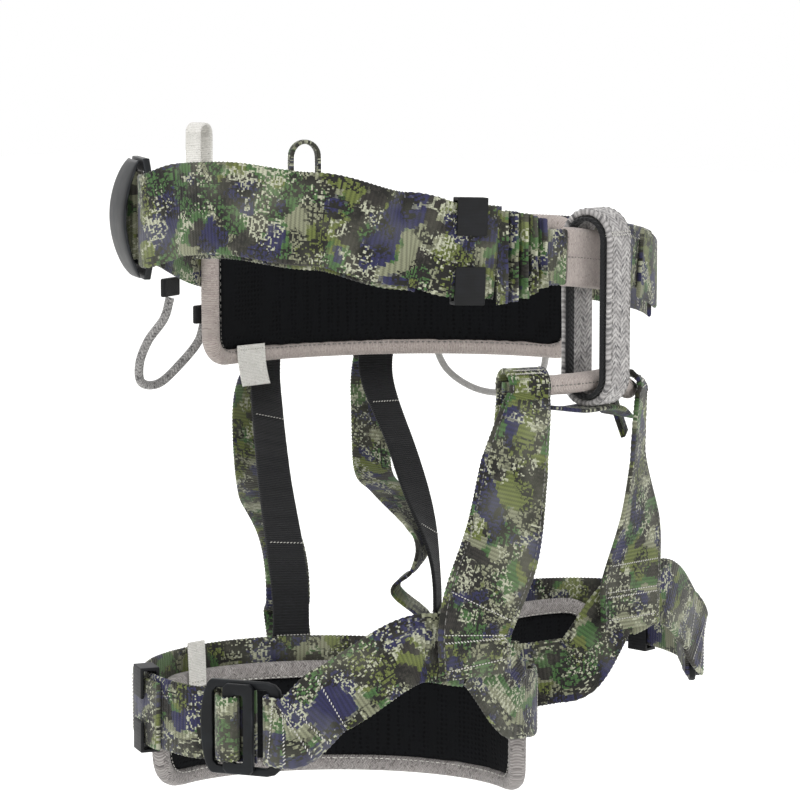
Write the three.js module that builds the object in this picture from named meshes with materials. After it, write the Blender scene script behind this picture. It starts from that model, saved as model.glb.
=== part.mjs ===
// Sit harness: padded waist belt, belay loop, bridge and two leg loops.
// Millimetres. +X is the wearer's left, -Y the front, +Z up. The origin is the middle of the waist.
import * as THREE from "three";

// Waist belt. Runs along the belt are angles from the front towards the wearer's left.
const WAIST_HALF_WIDTH = 137;
const WAIST_HALF_DEPTH = 119;
const BELT_WEBBING = 43;
const WEBBING_THICKNESS = 2;
const BAND_WEBBING = 32;
const LAYER_GAP = 0.6;
const WAIST_STEP = 5;
const WAIST_FRONT_RUN = [-98, -26.8];
const WAIST_UNDER_RUN = [-94, -40];
const WAIST_BACK_RUN = [212, 42];
const WAIST_LEFT_RUN = [62, 20];
// Height of the belt's middle line, as [angle, height]
const BELT_LINE = [[-180, -22], [-150, -5], [-135, 0], [-83, 10], [-63, 6], [-44, -3], [-33, -9],
  [-10, -14], [8, -18], [45, -31], [95, -29], [140, -28], [180, -22]];

// Waist pad
const PAD_START = 82;
const PAD_END = 189;
const PAD_HEIGHT = 76;
const PAD_MIDDLE = -45;
const PAD_THICKNESS = 7;
const PAD_CORNER = 16;
const BINDING_WIDTH = 8.5;
const BINDING_GAP = 0.8;

// Buckles. The gap is between a bar and the webbing round it.
const BUCKLE_BAR = 6;
const BUCKLE_PLATE = 3.4;
const BAR_GAP = 1.1;
const WAIST_BUCKLE_ANGLE = -122;
const WAIST_BUCKLE_LENGTH = 48;
const WAIST_BUCKLE_HEIGHT = BELT_WEBBING + 15;
const WAIST_BUCKLE_CORNER = 9;
const WAIST_WINDOW_CLEARANCE = 3;
const COVER_LENGTH = 44;
const COVER_BOW = 8;
const COVER_THICKNESS = 2.6;
const LEG_BUCKLE_ANGLE = 118;
const LEG_BUCKLE_LENGTH = 40;
const LEG_BUCKLE_HEIGHT = BAND_WEBBING + 12;
const LEG_BUCKLE_CORNER = 7;
const LEG_BUCKLE_BOW = 6;
const LEG_WINDOW_CLEARANCE = 4.4;
const SLIDER_LENGTH = 15;
const SLIDER_SLOT = 5;
const SLIDER_THICKNESS = 2.8;

// Keepers. The margin is beyond the strap's edges, the clearance above and below the stack.
const KEEPER_WALL = 1.6;
const KEEPER_MARGIN = 1.6;
const KEEPER_CLEARANCE = 0.75;
const WAIST_KEEPER = { length: 15, lip: 16 };
const LEG_KEEPER = { length: 12, lip: 13 };
const WAIST_KEEPER_ANGLE = -31.5;
const LEG_KEEPER_ANGLE = 165;

// Folded webbing, tab and tie-in sleeve at the front of the belt
const FOLD_START = -25.5;
const FOLD_END = -14.5;
const FOLD_COUNT = 5;
const FOLD_DEPTH = 5.5;
const FOLD_THICKNESS = 1.4;
const TAB_RUN = [-14, -8.5];
const TIE_IN_WEBBING = 24;
const TIE_IN_RUN = [30, -14];
const SLEEVE_START = -8;
const SLEEVE_END = 12;
const SLEEVE_GAP = 0.7;
const SLEEVE_WALL = 1.2;

// Belay loop. The seat is how far above the arc's middle the sleeve's edge meets the opening,
// the slack is between the loop and the bridge.
const BELAY_WIDTH = 17;
const BELAY_THICKNESS = 3;
const LINING_WIDTH = 20;
const LINING_THICKNESS = 2;
const BELAY_OPENING = 9;
const BELAY_SEAT = 7.3;
const BELAY_SLACK = 1.6;
const BELAY_X = 2;
const BELAY_Y = -121.5;

// Bridge, and the webbing under it as [x, behind the bridge's front, below the loop]
const BRIDGE_DIAMETER = 9.5;
const BRIDGE_WALL = 1.4;
const BRIDGE_REACH = 40;
const BRIDGE_FRONT = -122;
const BRIDGE_HEIGHT = -74;
const BRIDGE_DROP = 10;
const BRIDGE_BEND = 10;
const BRIDGE_CORE = { width: 5, thickness: 2.4 };
const SLEEVE_SHARE = 0.07;
const LINK_WEBBING = 18;
const LINK_ROWS = [[-26, 9, -2], [-12, 3, 0], [6, 2, 0], [17, 3, 1.5], [26, 5, 6]];

// Rise straps
const RISE_WEBBING = 40;
const RISE_EYE_WEBBING = 21;
const EYE_CLEARANCE = 0.095 * RISE_EYE_WEBBING;
const EYE_AT = 0.13;
const RISE_ANGLE = 48;
const RISE_BOTTOM = -202;
const RISE_SEWN = 24;

// Leg loops: each one's middle, and its turn about the upright in degrees
const LEG_LONG = 91;
const LEG_SHORT = 62;
const RIGHT_LEG = { side: -1, x: -94, y: -42, turn: 50 };
const LEFT_LEG = { side: 1, x: 90, y: -39, turn: 20.5 };
const LEG_WEBBING = 34;
const LEG_STEP = 6;
const LEG_FRONT_RUN = [92, 50];
const LEG_INNER_RUN = [60, -6];
const LEG_BACK_RUN = [147, 363];
const LEG_PAD_HEIGHT = 55;
const LEG_PAD_MIDDLE = -244;
const LEG_PAD_THICKNESS = 6;
const LEG_PAD_CORNER = 23;
const LEG_PAD_START = 184;
const LEG_PAD_END = 366;
// Height of the loop's middle line, as [angle, height]
const LEG_LINE = [[0, -224], [24, -221], [48, -191], [64, -187], [100, -214],
  [118, -225], [180, -224], [249, -222], [360, -224]];
const TAIL_START = 152;
const TAIL_END = 186;
const TAIL_LIFT = 176;
const TAIL_SLOPE = 0.35;

// Risers
const RISER_WIDTH = 19;
const GATHERED_WIDTH = 22;
const RISER_TOP = -BELT_WEBBING / 2 - 31.5;
const RISER_BOTTOM = -215;
// The left one twists more on its way down, so its two layers need more room.
const RIGHT_RISER = { waistAngle: 167, legAngle: 255, clear: 0.2 };
const LEFT_RISER = { waistAngle: 139, legAngle: 284, clear: 2.6 };
// The gathered webbing is tacked to the elastic at these shares of its run, and bows between them.
const RISER_TACKS = [0, 0.3, 0.74, 1];
const RISER_BULGE = 64;
const RISER_STEPS = 24;

// Gear loops: routes as [angle, outwards, height above the lower edge of a level belt], and the
// tape tabs that their ends go in
const GEAR_CORD = 4.6;
const SMALL_CORD = 3.6;
const CORD_STEPS = 22;
const GEAR_ROUTE_RIGHT = [[196, 5, -24.3], [197, 7, -34.5], [199, 14, -46.5], [199, 19, -58.5],
  [197, 21, -68.5], [192, 19, -70.5], [188, 12, -60.5], [186, 4, -48.5], [185.5, 1.6, -40]];
const GEAR_ROUTE_LEFT = [[125, 1.6, -40], [125, 7, -54.5], [122, 14, -72.5], [115, 17, -83.5],
  [107, 17, -83.5], [100, 14, -72.5], [97, 7, -55.5], [96, 1.6, -40]];
const ANCHOR_HEIGHT = 9.5;
const ANCHOR_THICKNESS = 3;
const ANCHOR_GAP = 0.7;
const ANCHOR_HALF_ANGLE = 3.2;

// Loops that stand on the belt's upper edge
const HAUL_LOOP = { angle: 156, out: 3.9, half: 8, low: -14, high: 31, width: 5, thickness: 2.2 };
const ACCESSORY_LOOP = {
  angle: 184, out: 6.8, half: 4.6, low: -14, high: 42, width: 10, thickness: 1.6,
};

// Tags. Inwards is how far the free edge leans, drop how far it hangs.
const TAG_THICKNESS = 0.8;
const TAG_CLEARANCE = 2.6;
const WAIST_TAG = { angle: 176, z: -73, width: 20, inwards: 4, drop: 21 };
const LEG_TAG = { angle: 214, z: -223.5, width: 11, inwards: -1, drop: -22 };

const UP = new THREE.Vector3(0, 0, 1);
const rad = THREE.MathUtils.degToRad;
const group = new THREE.Group();

function surface(color, roughness, metalness = 0) {
  return { color, roughness, metalness };
}

const CAMO = surface(0x56683c, 0.9);
const CAMO_DARK = surface(0x3d4a2c, 0.92);
const MESH_FABRIC = surface(0x121316, 0.95);
const BEIGE = surface(0xb5a9a3, 0.9);
const MELANGE = surface(0x9a9896, 0.85);
const BLACK_TAPE = surface(0x17181b, 0.8);
const BLACK_METAL = surface(0x14171c, 0.4, 0.6);
const BLACK_PLASTIC = surface(0x15161a, 0.5);
const WHITE_TAPE = surface(0xdedcd6, 0.85);
const GREY_CORD = surface(0xa9a7a6, 0.7);

function add(name, geometry, finish, place = null) {
  const mesh = new THREE.Mesh(geometry, new THREE.MeshStandardMaterial(finish));
  mesh.name = name;
  if (place) {
    mesh.applyMatrix4(place);
  }
  group.add(mesh);
  return mesh;
}

// Reads a height from [angle, height] rows, easing from one row to the next.
function lineHeight(rows, angle) {
  const next = rows.findIndex((row) => row[0] >= angle);
  if (next <= 0) {
    return rows[Math.max(next, 0)][1];
  }
  const [a0, z0] = rows[next - 1];
  const [a1, z1] = rows[next];
  return THREE.MathUtils.lerp(z0, z1, THREE.MathUtils.smoothstep(angle, a0, a1));
}

function wrap180(angle) {
  return ((angle + 180) % 360 + 360) % 360 - 180;
}

function beltHeight(angle) {
  return lineHeight(BELT_LINE, wrap180(angle));
}

// A station of a strap: its middle, the direction of its width and the outward direction.
function waistAt(angle, offset, z) {
  const a = rad(angle);
  const out = new THREE.Vector3(Math.sin(a) / WAIST_HALF_WIDTH, -Math.cos(a) / WAIST_HALF_DEPTH, 0);
  out.normalize();
  const p = new THREE.Vector3(Math.sin(a) * WAIST_HALF_WIDTH, -Math.cos(a) * WAIST_HALF_DEPTH, z);
  p.addScaledVector(out, offset);
  return { p, w: UP.clone(), out };
}

function legHeight(angle) {
  return lineHeight(LEG_LINE, ((angle % 360) + 360) % 360);
}

// The angle starts at the loop's inner front end and runs over the front to the outer side.
function legAt(leg, angle, offset, z) {
  const { side } = leg;
  const a = rad(angle);
  const turn = rad(leg.turn);
  const long = new THREE.Vector3(-side * Math.cos(turn), -Math.sin(turn), 0);
  const short = new THREE.Vector3(side * Math.sin(turn), -Math.cos(turn), 0);
  const out = long.clone().multiplyScalar(Math.cos(a) / LEG_LONG);
  out.addScaledVector(short, Math.sin(a) / LEG_SHORT).normalize();
  const p = new THREE.Vector3(leg.x, leg.y, z);
  p.addScaledVector(long, LEG_LONG * Math.cos(a));
  p.addScaledVector(short, LEG_SHORT * Math.sin(a));
  p.addScaledVector(out, offset);
  return { p, w: UP.clone(), out };
}

function angles(from, to, step) {
  const count = Math.max(2, Math.round(Math.abs(to - from) / step));
  return Array.from({ length: count + 1 }, (_, i) => THREE.MathUtils.lerp(from, to, i / count));
}

// A smooth run of stations through a few chosen ones.
function smoothRun(stations, count) {
  const middle = new THREE.CatmullRomCurve3(stations.map((s) => s.p), false, "centripetal");
  const last = stations.length - 1;
  return Array.from({ length: count + 1 }, (_, i) => {
    const t = i / count;
    const k = Math.min(Math.floor(t * last), last - 1);
    const share = THREE.MathUtils.smoothstep(t * last - k, 0, 1);
    const w = stations[k].w.clone().lerp(stations[k + 1].w, share).normalize();
    const size = THREE.MathUtils.lerp(stations[k].size ?? 1, stations[k + 1].size ?? 1, share);
    return { p: middle.getPoint(t), w, size };
  });
}

function rectangle(width, thickness) {
  const w = width / 2;
  const t = thickness / 2;
  return [[-w, -t], [w, -t], [w, t], [-w, t]];
}

function circle(diameter, sides) {
  return Array.from({ length: sides }, (_, i) => {
    const a = (2 * Math.PI * i) / sides;
    return [Math.cos(a) * diameter / 2, Math.sin(a) * diameter / 2];
  });
}

// Carries a section along stations. A section point is [along the width, along the thickness].
// A second section of as many points makes the sweep a tube. Closed stations make a ring.
function sweep(stations, outer, inner = null, closed = false) {
  const n = stations.length;
  const sides = outer.length;
  const vertices = [];
  const faces = [];
  stations.forEach((s, i) => {
    const before = stations[closed ? (i + n - 1) % n : Math.max(i - 1, 0)].p;
    const after = stations[closed ? (i + 1) % n : Math.min(i + 1, n - 1)].p;
    const t = after.clone().sub(before).normalize();
    const w = s.w.clone().addScaledVector(t, -s.w.dot(t)).normalize();
    const up = new THREE.Vector3().crossVectors(t, w);
    const size = s.size ?? 1;
    for (const section of inner ? [outer, inner] : [outer]) {
      for (const [a, b] of section) {
        const v = s.p.clone().addScaledVector(w, a * size).addScaledVector(up, b);
        vertices.push(v.x, v.y, v.z);
      }
    }
  });
  const ring = inner ? 2 * sides : sides;
  const quad = (a, b, c, d) => faces.push(a, b, c, a, c, d);
  for (let i = 0; i < (closed ? n : n - 1); i += 1) {
    const here = i * ring;
    const there = ((i + 1) % n) * ring;
    for (let k = 0; k < sides; k += 1) {
      const next = (k + 1) % sides;
      quad(here + k, here + next, there + next, there + k);
      if (inner) {
        quad(here + sides + next, here + sides + k, there + sides + k, there + sides + next);
      }
    }
  }
  if (!closed) {
    const end = (n - 1) * ring;
    for (let k = 0; k < sides; k += 1) {
      const next = (k + 1) % sides;
      if (inner) {
        quad(next, k, sides + k, sides + next);
        quad(end + k, end + next, end + sides + next, end + sides + k);
      } else if (k > 0 && k < sides - 1) {
        faces.push(0, k + 1, k);
        faces.push(end, end + k, end + k + 1);
      }
    }
  }
  return solid(vertices, faces);
}

// A closed geometry whose faces point outwards.
function solid(vertices, faces) {
  let volume = 0;
  const at = (i) => new THREE.Vector3().fromArray(vertices, 3 * i);
  for (let i = 0; i < faces.length; i += 3) {
    volume += at(faces[i]).dot(at(faces[i + 1]).cross(at(faces[i + 2])));
  }
  if (volume < 0) {
    faces.reverse();
  }
  const geometry = new THREE.BufferGeometry();
  geometry.setAttribute("position", new THREE.Float32BufferAttribute(vertices, 3));
  geometry.setIndex(faces);
  geometry.computeVertexNormals();
  return geometry;
}

function strap(stations, width, thickness = WEBBING_THICKNESS, closed = false) {
  return sweep(stations, rectangle(width, thickness), null, closed);
}

function cord(points, diameter, steps) {
  const curve = new THREE.CatmullRomCurve3(points, false, "centripetal");
  const stations = Array.from({ length: steps + 1 }, (_, i) => {
    const p = curve.getPoint(i / steps);
    const t = curve.getTangent(i / steps);
    const w = new THREE.Vector3().crossVectors(t, new THREE.Vector3(0.31, 0.57, 0.12));
    return { p, w: w.normalize() };
  });
  for (let i = 1; i < stations.length; i += 1) {
    const t = curve.getTangent(i / steps);
    const w = stations[i - 1].w.clone();
    stations[i].w = w.addScaledVector(t, -w.dot(t)).normalize();
  }
  return sweep(stations, circle(diameter, 8));
}

// A rigid flat piece: its local x runs along the strap, y up the strap's width, z outwards.
function placedOn(station, lift = 0) {
  const z = station.out.clone();
  const y = UP.clone();
  const x = new THREE.Vector3().crossVectors(y, z).normalize();
  const place = new THREE.Matrix4().makeBasis(x, y, z);
  return place.setPosition(station.p.clone().addScaledVector(z, lift));
}

function plate(outline, holes, thickness) {
  const shape = new THREE.Shape(outline.map(([x, y]) => new THREE.Vector2(x, y)));
  for (const hole of holes) {
    shape.holes.push(new THREE.Path(hole.map(([x, y]) => new THREE.Vector2(x, y))));
  }
  const geometry = new THREE.ExtrudeGeometry(shape, { depth: thickness, bevelEnabled: false });
  geometry.translate(0, 0, -thickness / 2);
  return geometry;
}

// A rectangle with cut corners.
function cutRectangle(length, height, cut) {
  const x = length / 2;
  const y = height / 2;
  return [[-x + cut, -y], [x - cut, -y], [x, -y + cut], [x, y - cut],
    [x - cut, y], [-x + cut, y], [-x, y - cut], [-x, -y + cut]];
}

// Stations that take a strap round a bar: up on the outer side, round, and back inside.
// toPoint turns local (along, outwards) into a world point.
function roundBar(toPoint, w, barAt, radius, run, direction) {
  const arc = angles(90, -90, 30).map((a) => {
    const edge = barAt + direction * (BUCKLE_BAR - BUCKLE_PLATE) / 2;
    const along = edge + direction * radius * Math.cos(rad(a));
    return { p: toPoint(along, radius * Math.sin(rad(a))), w };
  });
  const end = { p: toPoint(barAt - direction * run, -radius), w };
  return [...arc, end];
}

const LAYER = WEBBING_THICKNESS + LAYER_GAP;
const BAR_TURN = BUCKLE_PLATE / 2 + BAR_GAP + WEBBING_THICKNESS / 2;
const PAD_FACE = WEBBING_THICKNESS / 2 + LAYER_GAP;

// ---- Waist belt ----

function waistRun(from, to, offset, lift = 0) {
  return angles(from, to, WAIST_STEP).map((a) => waistAt(a, offset, beltHeight(a) + lift));
}

// Turns a rigid piece's own (along, outwards) into a world point. Along runs towards the front.
function localPoint(station, direction) {
  const place = placedOn(station);
  return (along, outwards) => new THREE.Vector3(direction * along, 0, outwards).applyMatrix4(place);
}

const waistBuckle = waistAt(WAIST_BUCKLE_ANGLE, 0, beltHeight(WAIST_BUCKLE_ANGLE));

function makeWaistWebbing() {
  const barAt = (WAIST_BUCKLE_LENGTH - BUCKLE_BAR) / 2;
  const at = localPoint(waistBuckle, 1);
  const front = [
    ...roundBar(at, UP, barAt, BAR_TURN, 16, -1).reverse(),
    { p: at(barAt + 14, BAR_TURN), w: UP },
    ...waistRun(...WAIST_FRONT_RUN, BAR_TURN),
  ];
  const back = [
    ...roundBar(at, UP, -barAt, BAR_TURN, 12, 1).reverse(),
    { p: at(-barAt - 10, BAR_TURN), w: UP },
    ...waistRun(...WAIST_BACK_RUN, 0),
  ];
  add("waist_front_webbing", strap(front, BELT_WEBBING), CAMO);
  add("waist_front_underlayer", strap(waistRun(...WAIST_UNDER_RUN, BAR_TURN - LAYER, -1.5),
    BELT_WEBBING), CAMO_DARK);
  add("waist_back_webbing", strap(back, BELT_WEBBING), CAMO);
  add("waist_left_webbing", strap(waistRun(...WAIST_LEFT_RUN, LAYER), LEG_WEBBING), CAMO);
  add("tie_in_webbing", strap(waistRun(...TIE_IN_RUN, 0), TIE_IN_WEBBING), CAMO);
}

function makeWaistBuckle() {
  const window = cutRectangle(WAIST_BUCKLE_LENGTH - 2 * BUCKLE_BAR,
    BELT_WEBBING + WAIST_WINDOW_CLEARANCE, 1);
  const outline = cutRectangle(WAIST_BUCKLE_LENGTH, WAIST_BUCKLE_HEIGHT, WAIST_BUCKLE_CORNER);
  const place = placedOn(waistBuckle);
  add("waist_buckle_frame", plate(outline, [window], BUCKLE_PLATE), BLACK_METAL, place);
  const along = new THREE.Vector3().setFromMatrixColumn(place, 0);
  const half = WAIST_BUCKLE_HEIGHT / 2 - 1;
  const bowed = [-1, -0.75, -0.45, 0, 0.45, 0.75, 1].map((share) => {
    const lift = BUCKLE_PLATE + 1.4 * LAYER_GAP + COVER_BOW * (1 - share * share);
    const p = new THREE.Vector3(0, share * half, lift).applyMatrix4(place);
    return { p, w: along };
  });
  add("waist_buckle_cover", strap(bowed, COVER_LENGTH, COVER_THICKNESS), BLACK_METAL);
}

// A clip round a strap, open at the front: two lips hold the strap's edges.
function makeKeeper(name, station, run, stack, height, { length, lip }) {
  const back = -WEBBING_THICKNESS / 2 - KEEPER_CLEARANCE;
  const face = back + stack + 2 * KEEPER_CLEARANCE;
  const half = height / 2 + KEEPER_MARGIN;
  const outline = [
    [half - lip, face], [half, face], [half, back], [-half, back], [-half, face],
    [-half + lip, face], [-half + lip, face + KEEPER_WALL], [-half - KEEPER_WALL, face + KEEPER_WALL],
    [-half - KEEPER_WALL, back - KEEPER_WALL], [half + KEEPER_WALL, back - KEEPER_WALL],
    [half + KEEPER_WALL, face + KEEPER_WALL], [half - lip, face + KEEPER_WALL],
  ];
  const geometry = plate(outline, [], length);
  const x = run.clone().addScaledVector(station.out, -run.dot(station.out)).normalize();
  const y = new THREE.Vector3().crossVectors(station.out, x);
  const place = new THREE.Matrix4().makeBasis(y, station.out, x);
  add(name, geometry, BLACK_PLASTIC, place.setPosition(station.p));
}

function makeWaistKeeper() {
  const at = (angle) => waistAt(angle, BAR_TURN, beltHeight(angle));
  const run = at(WAIST_KEEPER_ANGLE + 2).p.sub(at(WAIST_KEEPER_ANGLE - 2).p);
  makeKeeper("waist_keeper", at(WAIST_KEEPER_ANGLE), run, WEBBING_THICKNESS, BELT_WEBBING,
    WAIST_KEEPER);
}

// The outline of a pad on a ring, as [angle, height] rows, clockwise seen from outside.
function roundedPatch(start, end, low, high, corner, mmPerDegree, step) {
  const reach = mmPerDegree.map((rate) => corner / rate);
  const rows = [];
  const arc = (angle, z, wide, from) => {
    for (const turn of [0, 30, 60, 90]) {
      const a = rad(from - turn);
      rows.push([angle + wide * Math.cos(a), z + corner * Math.sin(a)]);
    }
  };
  const between = angles(start + reach[0], end - reach[1], step).slice(1, -1);
  rows.push(...between.map((a) => [a, high]));
  arc(end - reach[1], high - corner, reach[1], 90);
  arc(end - reach[1], low + corner, reach[1], 0);
  rows.push(...between.reverse().map((a) => [a, low]));
  arc(start + reach[0], low + corner, reach[0], -90);
  arc(start + reach[0], high - corner, reach[0], -180);
  return rows;
}

// Gives each station of a closed path on a surface the width direction that lies in the surface.
function layInSurface(stations) {
  const n = stations.length;
  return stations.map((s, i) => {
    const t = stations[(i + 1) % n].p.clone().sub(stations[(i + n - 1) % n].p).normalize();
    return { ...s, w: new THREE.Vector3().crossVectors(t, s.out).normalize() };
  });
}

// A pad and the tape bound round its edge. at(angle, offset, z) is the ring that they lie on.
function makePad(name, at, shape, finish, tape) {
  const { start, end, middle, height, thickness, corner, step } = shape;
  const tapeThickness = thickness + 2;
  const offset = -PAD_FACE - tapeThickness / 2;
  const half = BINDING_WIDTH / 2;
  const rate = (a) => at(a - 0.5, offset, 0).p.distanceTo(at(a + 0.5, offset, 0).p);
  const rates = [rate(start + 4), rate(end - 4)];
  const rows = roundedPatch(start + half / rates[0], end - half / rates[1],
    middle - height / 2 + half, middle + height / 2 - half, corner - half, rates, step);
  const path = layInSurface(rows.map(([a, z]) => at(a, offset, z)));
  add(`${name}_binding`, strap(path, BINDING_WIDTH, tapeThickness, true), tape);
  const inset = BINDING_WIDTH + BINDING_GAP;
  const round = corner - BINDING_WIDTH;
  const inner = height - 2 * inset;
  const from = start + inset / rates[0];
  const to = end - inset / rates[1];
  const rounding = [0.04, 0.25, 0.6, 1].map((share) => share * round);
  const stations = [
    ...rounding.map((d) => [from + d / rates[0], d]),
    ...angles(from + round / rates[0], to - round / rates[1], step).slice(1, -1)
      .map((a) => [a, round]),
    ...rounding.reverse().map((d) => [to - d / rates[1], d]),
  ];
  const body = stations.map(([a, d]) => {
    const tall = inner - 2 * (round - Math.sqrt(round ** 2 - (round - d) ** 2));
    return { ...at(a, offset, middle), size: tall / inner };
  });
  add(name, strap(body, inner, thickness), finish);
}

function makeFrontFolds() {
  const stations = [];
  const folds = FOLD_COUNT * 2;
  angles(FOLD_START, FOLD_END, (FOLD_END - FOLD_START) / folds).forEach((a, i) => {
    const deep = i % 2 ? FOLD_DEPTH : 0;
    stations.push(waistAt(a, BAR_TURN + deep, beltHeight(FOLD_START) - 2));
  });
  add("front_folded_webbing", strap(stations, BELT_WEBBING - 2, FOLD_THICKNESS), CAMO);
  const tab = angles(...TAB_RUN, 2.5).map((a) => waistAt(a, LAYER, beltHeight(a)));
  add("front_tab", strap(tab, TIE_IN_WEBBING + 2), CAMO);
}

function makeTieInSleeve() {
  const stations = angles(SLEEVE_START, SLEEVE_END, 4).map((a) => waistAt(a, 0, beltHeight(a)));
  const clear = WEBBING_THICKNESS + 2 * SLEEVE_GAP;
  const inner = rectangle(TIE_IN_WEBBING + 2 * SLEEVE_GAP, clear);
  const outer = rectangle(TIE_IN_WEBBING + 2 * (SLEEVE_GAP + SLEEVE_WALL), clear + 2 * SLEEVE_WALL);
  add("tie_in_sleeve", sweep(stations, outer, inner), BEIGE);
}

// The loop hangs on the sleeve's upper edge and carries the bridge sleeve.
const SLEEVE_HALF = TIE_IN_WEBBING / 2 + SLEEVE_GAP + SLEEVE_WALL;
const BELAY_TOP = beltHeight(SLEEVE_START) + SLEEVE_HALF + LAYER_GAP - BELAY_SEAT;
const BELAY_BOTTOM = BRIDGE_HEIGHT - BRIDGE_DIAMETER / 2 - BELAY_SLACK + BELAY_OPENING;

// A closed upright loop of webbing in the YZ plane.
function uprightLoop(radius) {
  const middle = (top, from) => angles(from, from + 180, 30).map((a) => {
    const y = BELAY_Y + radius * Math.cos(rad(a));
    const z = top + radius * Math.sin(rad(a));
    return { p: new THREE.Vector3(BELAY_X, y, z), w: new THREE.Vector3(1, 0, 0) };
  });
  const sides = angles(0, 1, 0.34).slice(1, -1);
  const side = (y, from, to) => sides.map((share) => ({
    p: new THREE.Vector3(BELAY_X, y, THREE.MathUtils.lerp(from, to, share)),
    w: new THREE.Vector3(1, 0, 0),
  }));
  return [
    ...middle(BELAY_TOP, 0), ...side(BELAY_Y - radius, BELAY_TOP, BELAY_BOTTOM),
    ...middle(BELAY_BOTTOM, 180), ...side(BELAY_Y + radius, BELAY_BOTTOM, BELAY_TOP),
  ];
}

function makeBelayLoop() {
  const inner = BELAY_OPENING + LINING_THICKNESS / 2;
  const outer = inner + (LINING_THICKNESS + BELAY_THICKNESS) / 2 + LAYER_GAP;
  add("belay_loop_lining", strap(uprightLoop(inner), LINING_WIDTH, LINING_THICKNESS, true),
    BLACK_TAPE);
  add("belay_loop", strap(uprightLoop(outer), BELAY_WIDTH, BELAY_THICKNESS, true), MELANGE);
}

function makeGearLoops() {
  const route = (rows) => rows.map(([a, out, z]) => waistAt(a, out, z - BELT_WEBBING / 2).p);
  add("gear_loop_right", cord(route(GEAR_ROUTE_RIGHT), GEAR_CORD, CORD_STEPS), MELANGE);
  add("gear_loop_left", cord(route(GEAR_ROUTE_LEFT), SMALL_CORD, CORD_STEPS), GREY_CORD);
  makeAnchor("gear_anchor_right_back", GEAR_ROUTE_RIGHT[0]);
  makeAnchor("gear_anchor_right_front", GEAR_ROUTE_RIGHT[GEAR_ROUTE_RIGHT.length - 1]);
  makeAnchor("gear_anchor_left_back", GEAR_ROUTE_LEFT[0]);
  makeAnchor("gear_anchor_left_front", GEAR_ROUTE_LEFT[GEAR_ROUTE_LEFT.length - 1]);
}

// A tape tab sewn on the belt, above the cord's end.
function makeAnchor(name, [angle, out, cordEnd]) {
  const z = cordEnd - BELT_WEBBING / 2 + ANCHOR_GAP + ANCHOR_HEIGHT / 2;
  const stations = angles(angle - ANCHOR_HALF_ANGLE, angle + ANCHOR_HALF_ANGLE, 3)
    .map((a) => waistAt(a, out, z));
  add(name, strap(stations, ANCHOR_HEIGHT, ANCHOR_THICKNESS), BLACK_TAPE);
}

// A short loop of tape or cord that stands on the belt's upper edge.
function makeTopLoop(name, { angle, out, half, low, high, width, thickness }, finish) {
  const foot = waistAt(angle, out, low);
  const along = new THREE.Vector3().crossVectors(UP, foot.out).normalize();
  const w = foot.out.clone();
  const rise = high - low - half;
  const place = (x, z) => foot.p.clone().addScaledVector(along, x).add(new THREE.Vector3(0, 0, z));
  const stations = [
    { p: place(half * 0.7, 0), w }, { p: place(half, rise * 0.55), w },
    ...angles(0, 180, 30).map((a) => ({
      p: place(half * Math.cos(rad(a)), rise + half * Math.sin(rad(a))), w,
    })),
    { p: place(-half, rise * 0.55), w }, { p: place(-half * 0.7, 0), w },
  ];
  add(name, strap(stations, width, thickness), finish);
}

// ---- Bridge and leg loops ----

function bridgePath() {
  const side = (x) => new THREE.Vector3(x, BRIDGE_FRONT + BRIDGE_BEND * (x / BRIDGE_REACH) ** 2,
    BRIDGE_HEIGHT - BRIDGE_DROP * THREE.MathUtils.smoothstep(x, 12, 1.3 * BRIDGE_REACH));
  return [-1.25, -1, -0.6, -0.2, 0.2, 0.6, 1, 1.25].map((share) => side(share * BRIDGE_REACH));
}

function makeBridge() {
  const run = (from, to) => {
    const curve = new THREE.CatmullRomCurve3(bridgePath(), false, "centripetal");
    return angles(from, to, SLEEVE_SHARE).map((t) => ({ p: curve.getPoint(t), w: UP }));
  };
  add("bridge_webbing", strap(run(0, 1), BRIDGE_CORE.width, BRIDGE_CORE.thickness), CAMO);
  add("bridge_sleeve", sweep(run(SLEEVE_SHARE, 1 - SLEEVE_SHARE), circle(BRIDGE_DIAMETER, 10),
    circle(BRIDGE_DIAMETER - 2 * BRIDGE_WALL, 10)), BEIGE);
}

// The webbing that ties the two rise straps together under the bridge.
function makeLegLink() {
  const under = BELAY_BOTTOM - BELAY_OPENING - LINING_THICKNESS - BELAY_THICKNESS
    - 2 * LAYER_GAP - WEBBING_THICKNESS / 2;
  const stations = LINK_ROWS.map(([x, behind, below]) => ({
    p: new THREE.Vector3(x, BRIDGE_FRONT + behind, under - below),
    w: new THREE.Vector3(0, 1, 0),
  }));
  add("leg_link_webbing", strap(smoothRun(stations, 12), LINK_WEBBING), CAMO_DARK);
}

function legRun(leg, from, to, offset, lift = 0) {
  return angles(from, to, LEG_STEP).map((a) => legAt(leg, a, offset, legHeight(a) + lift));
}

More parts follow.
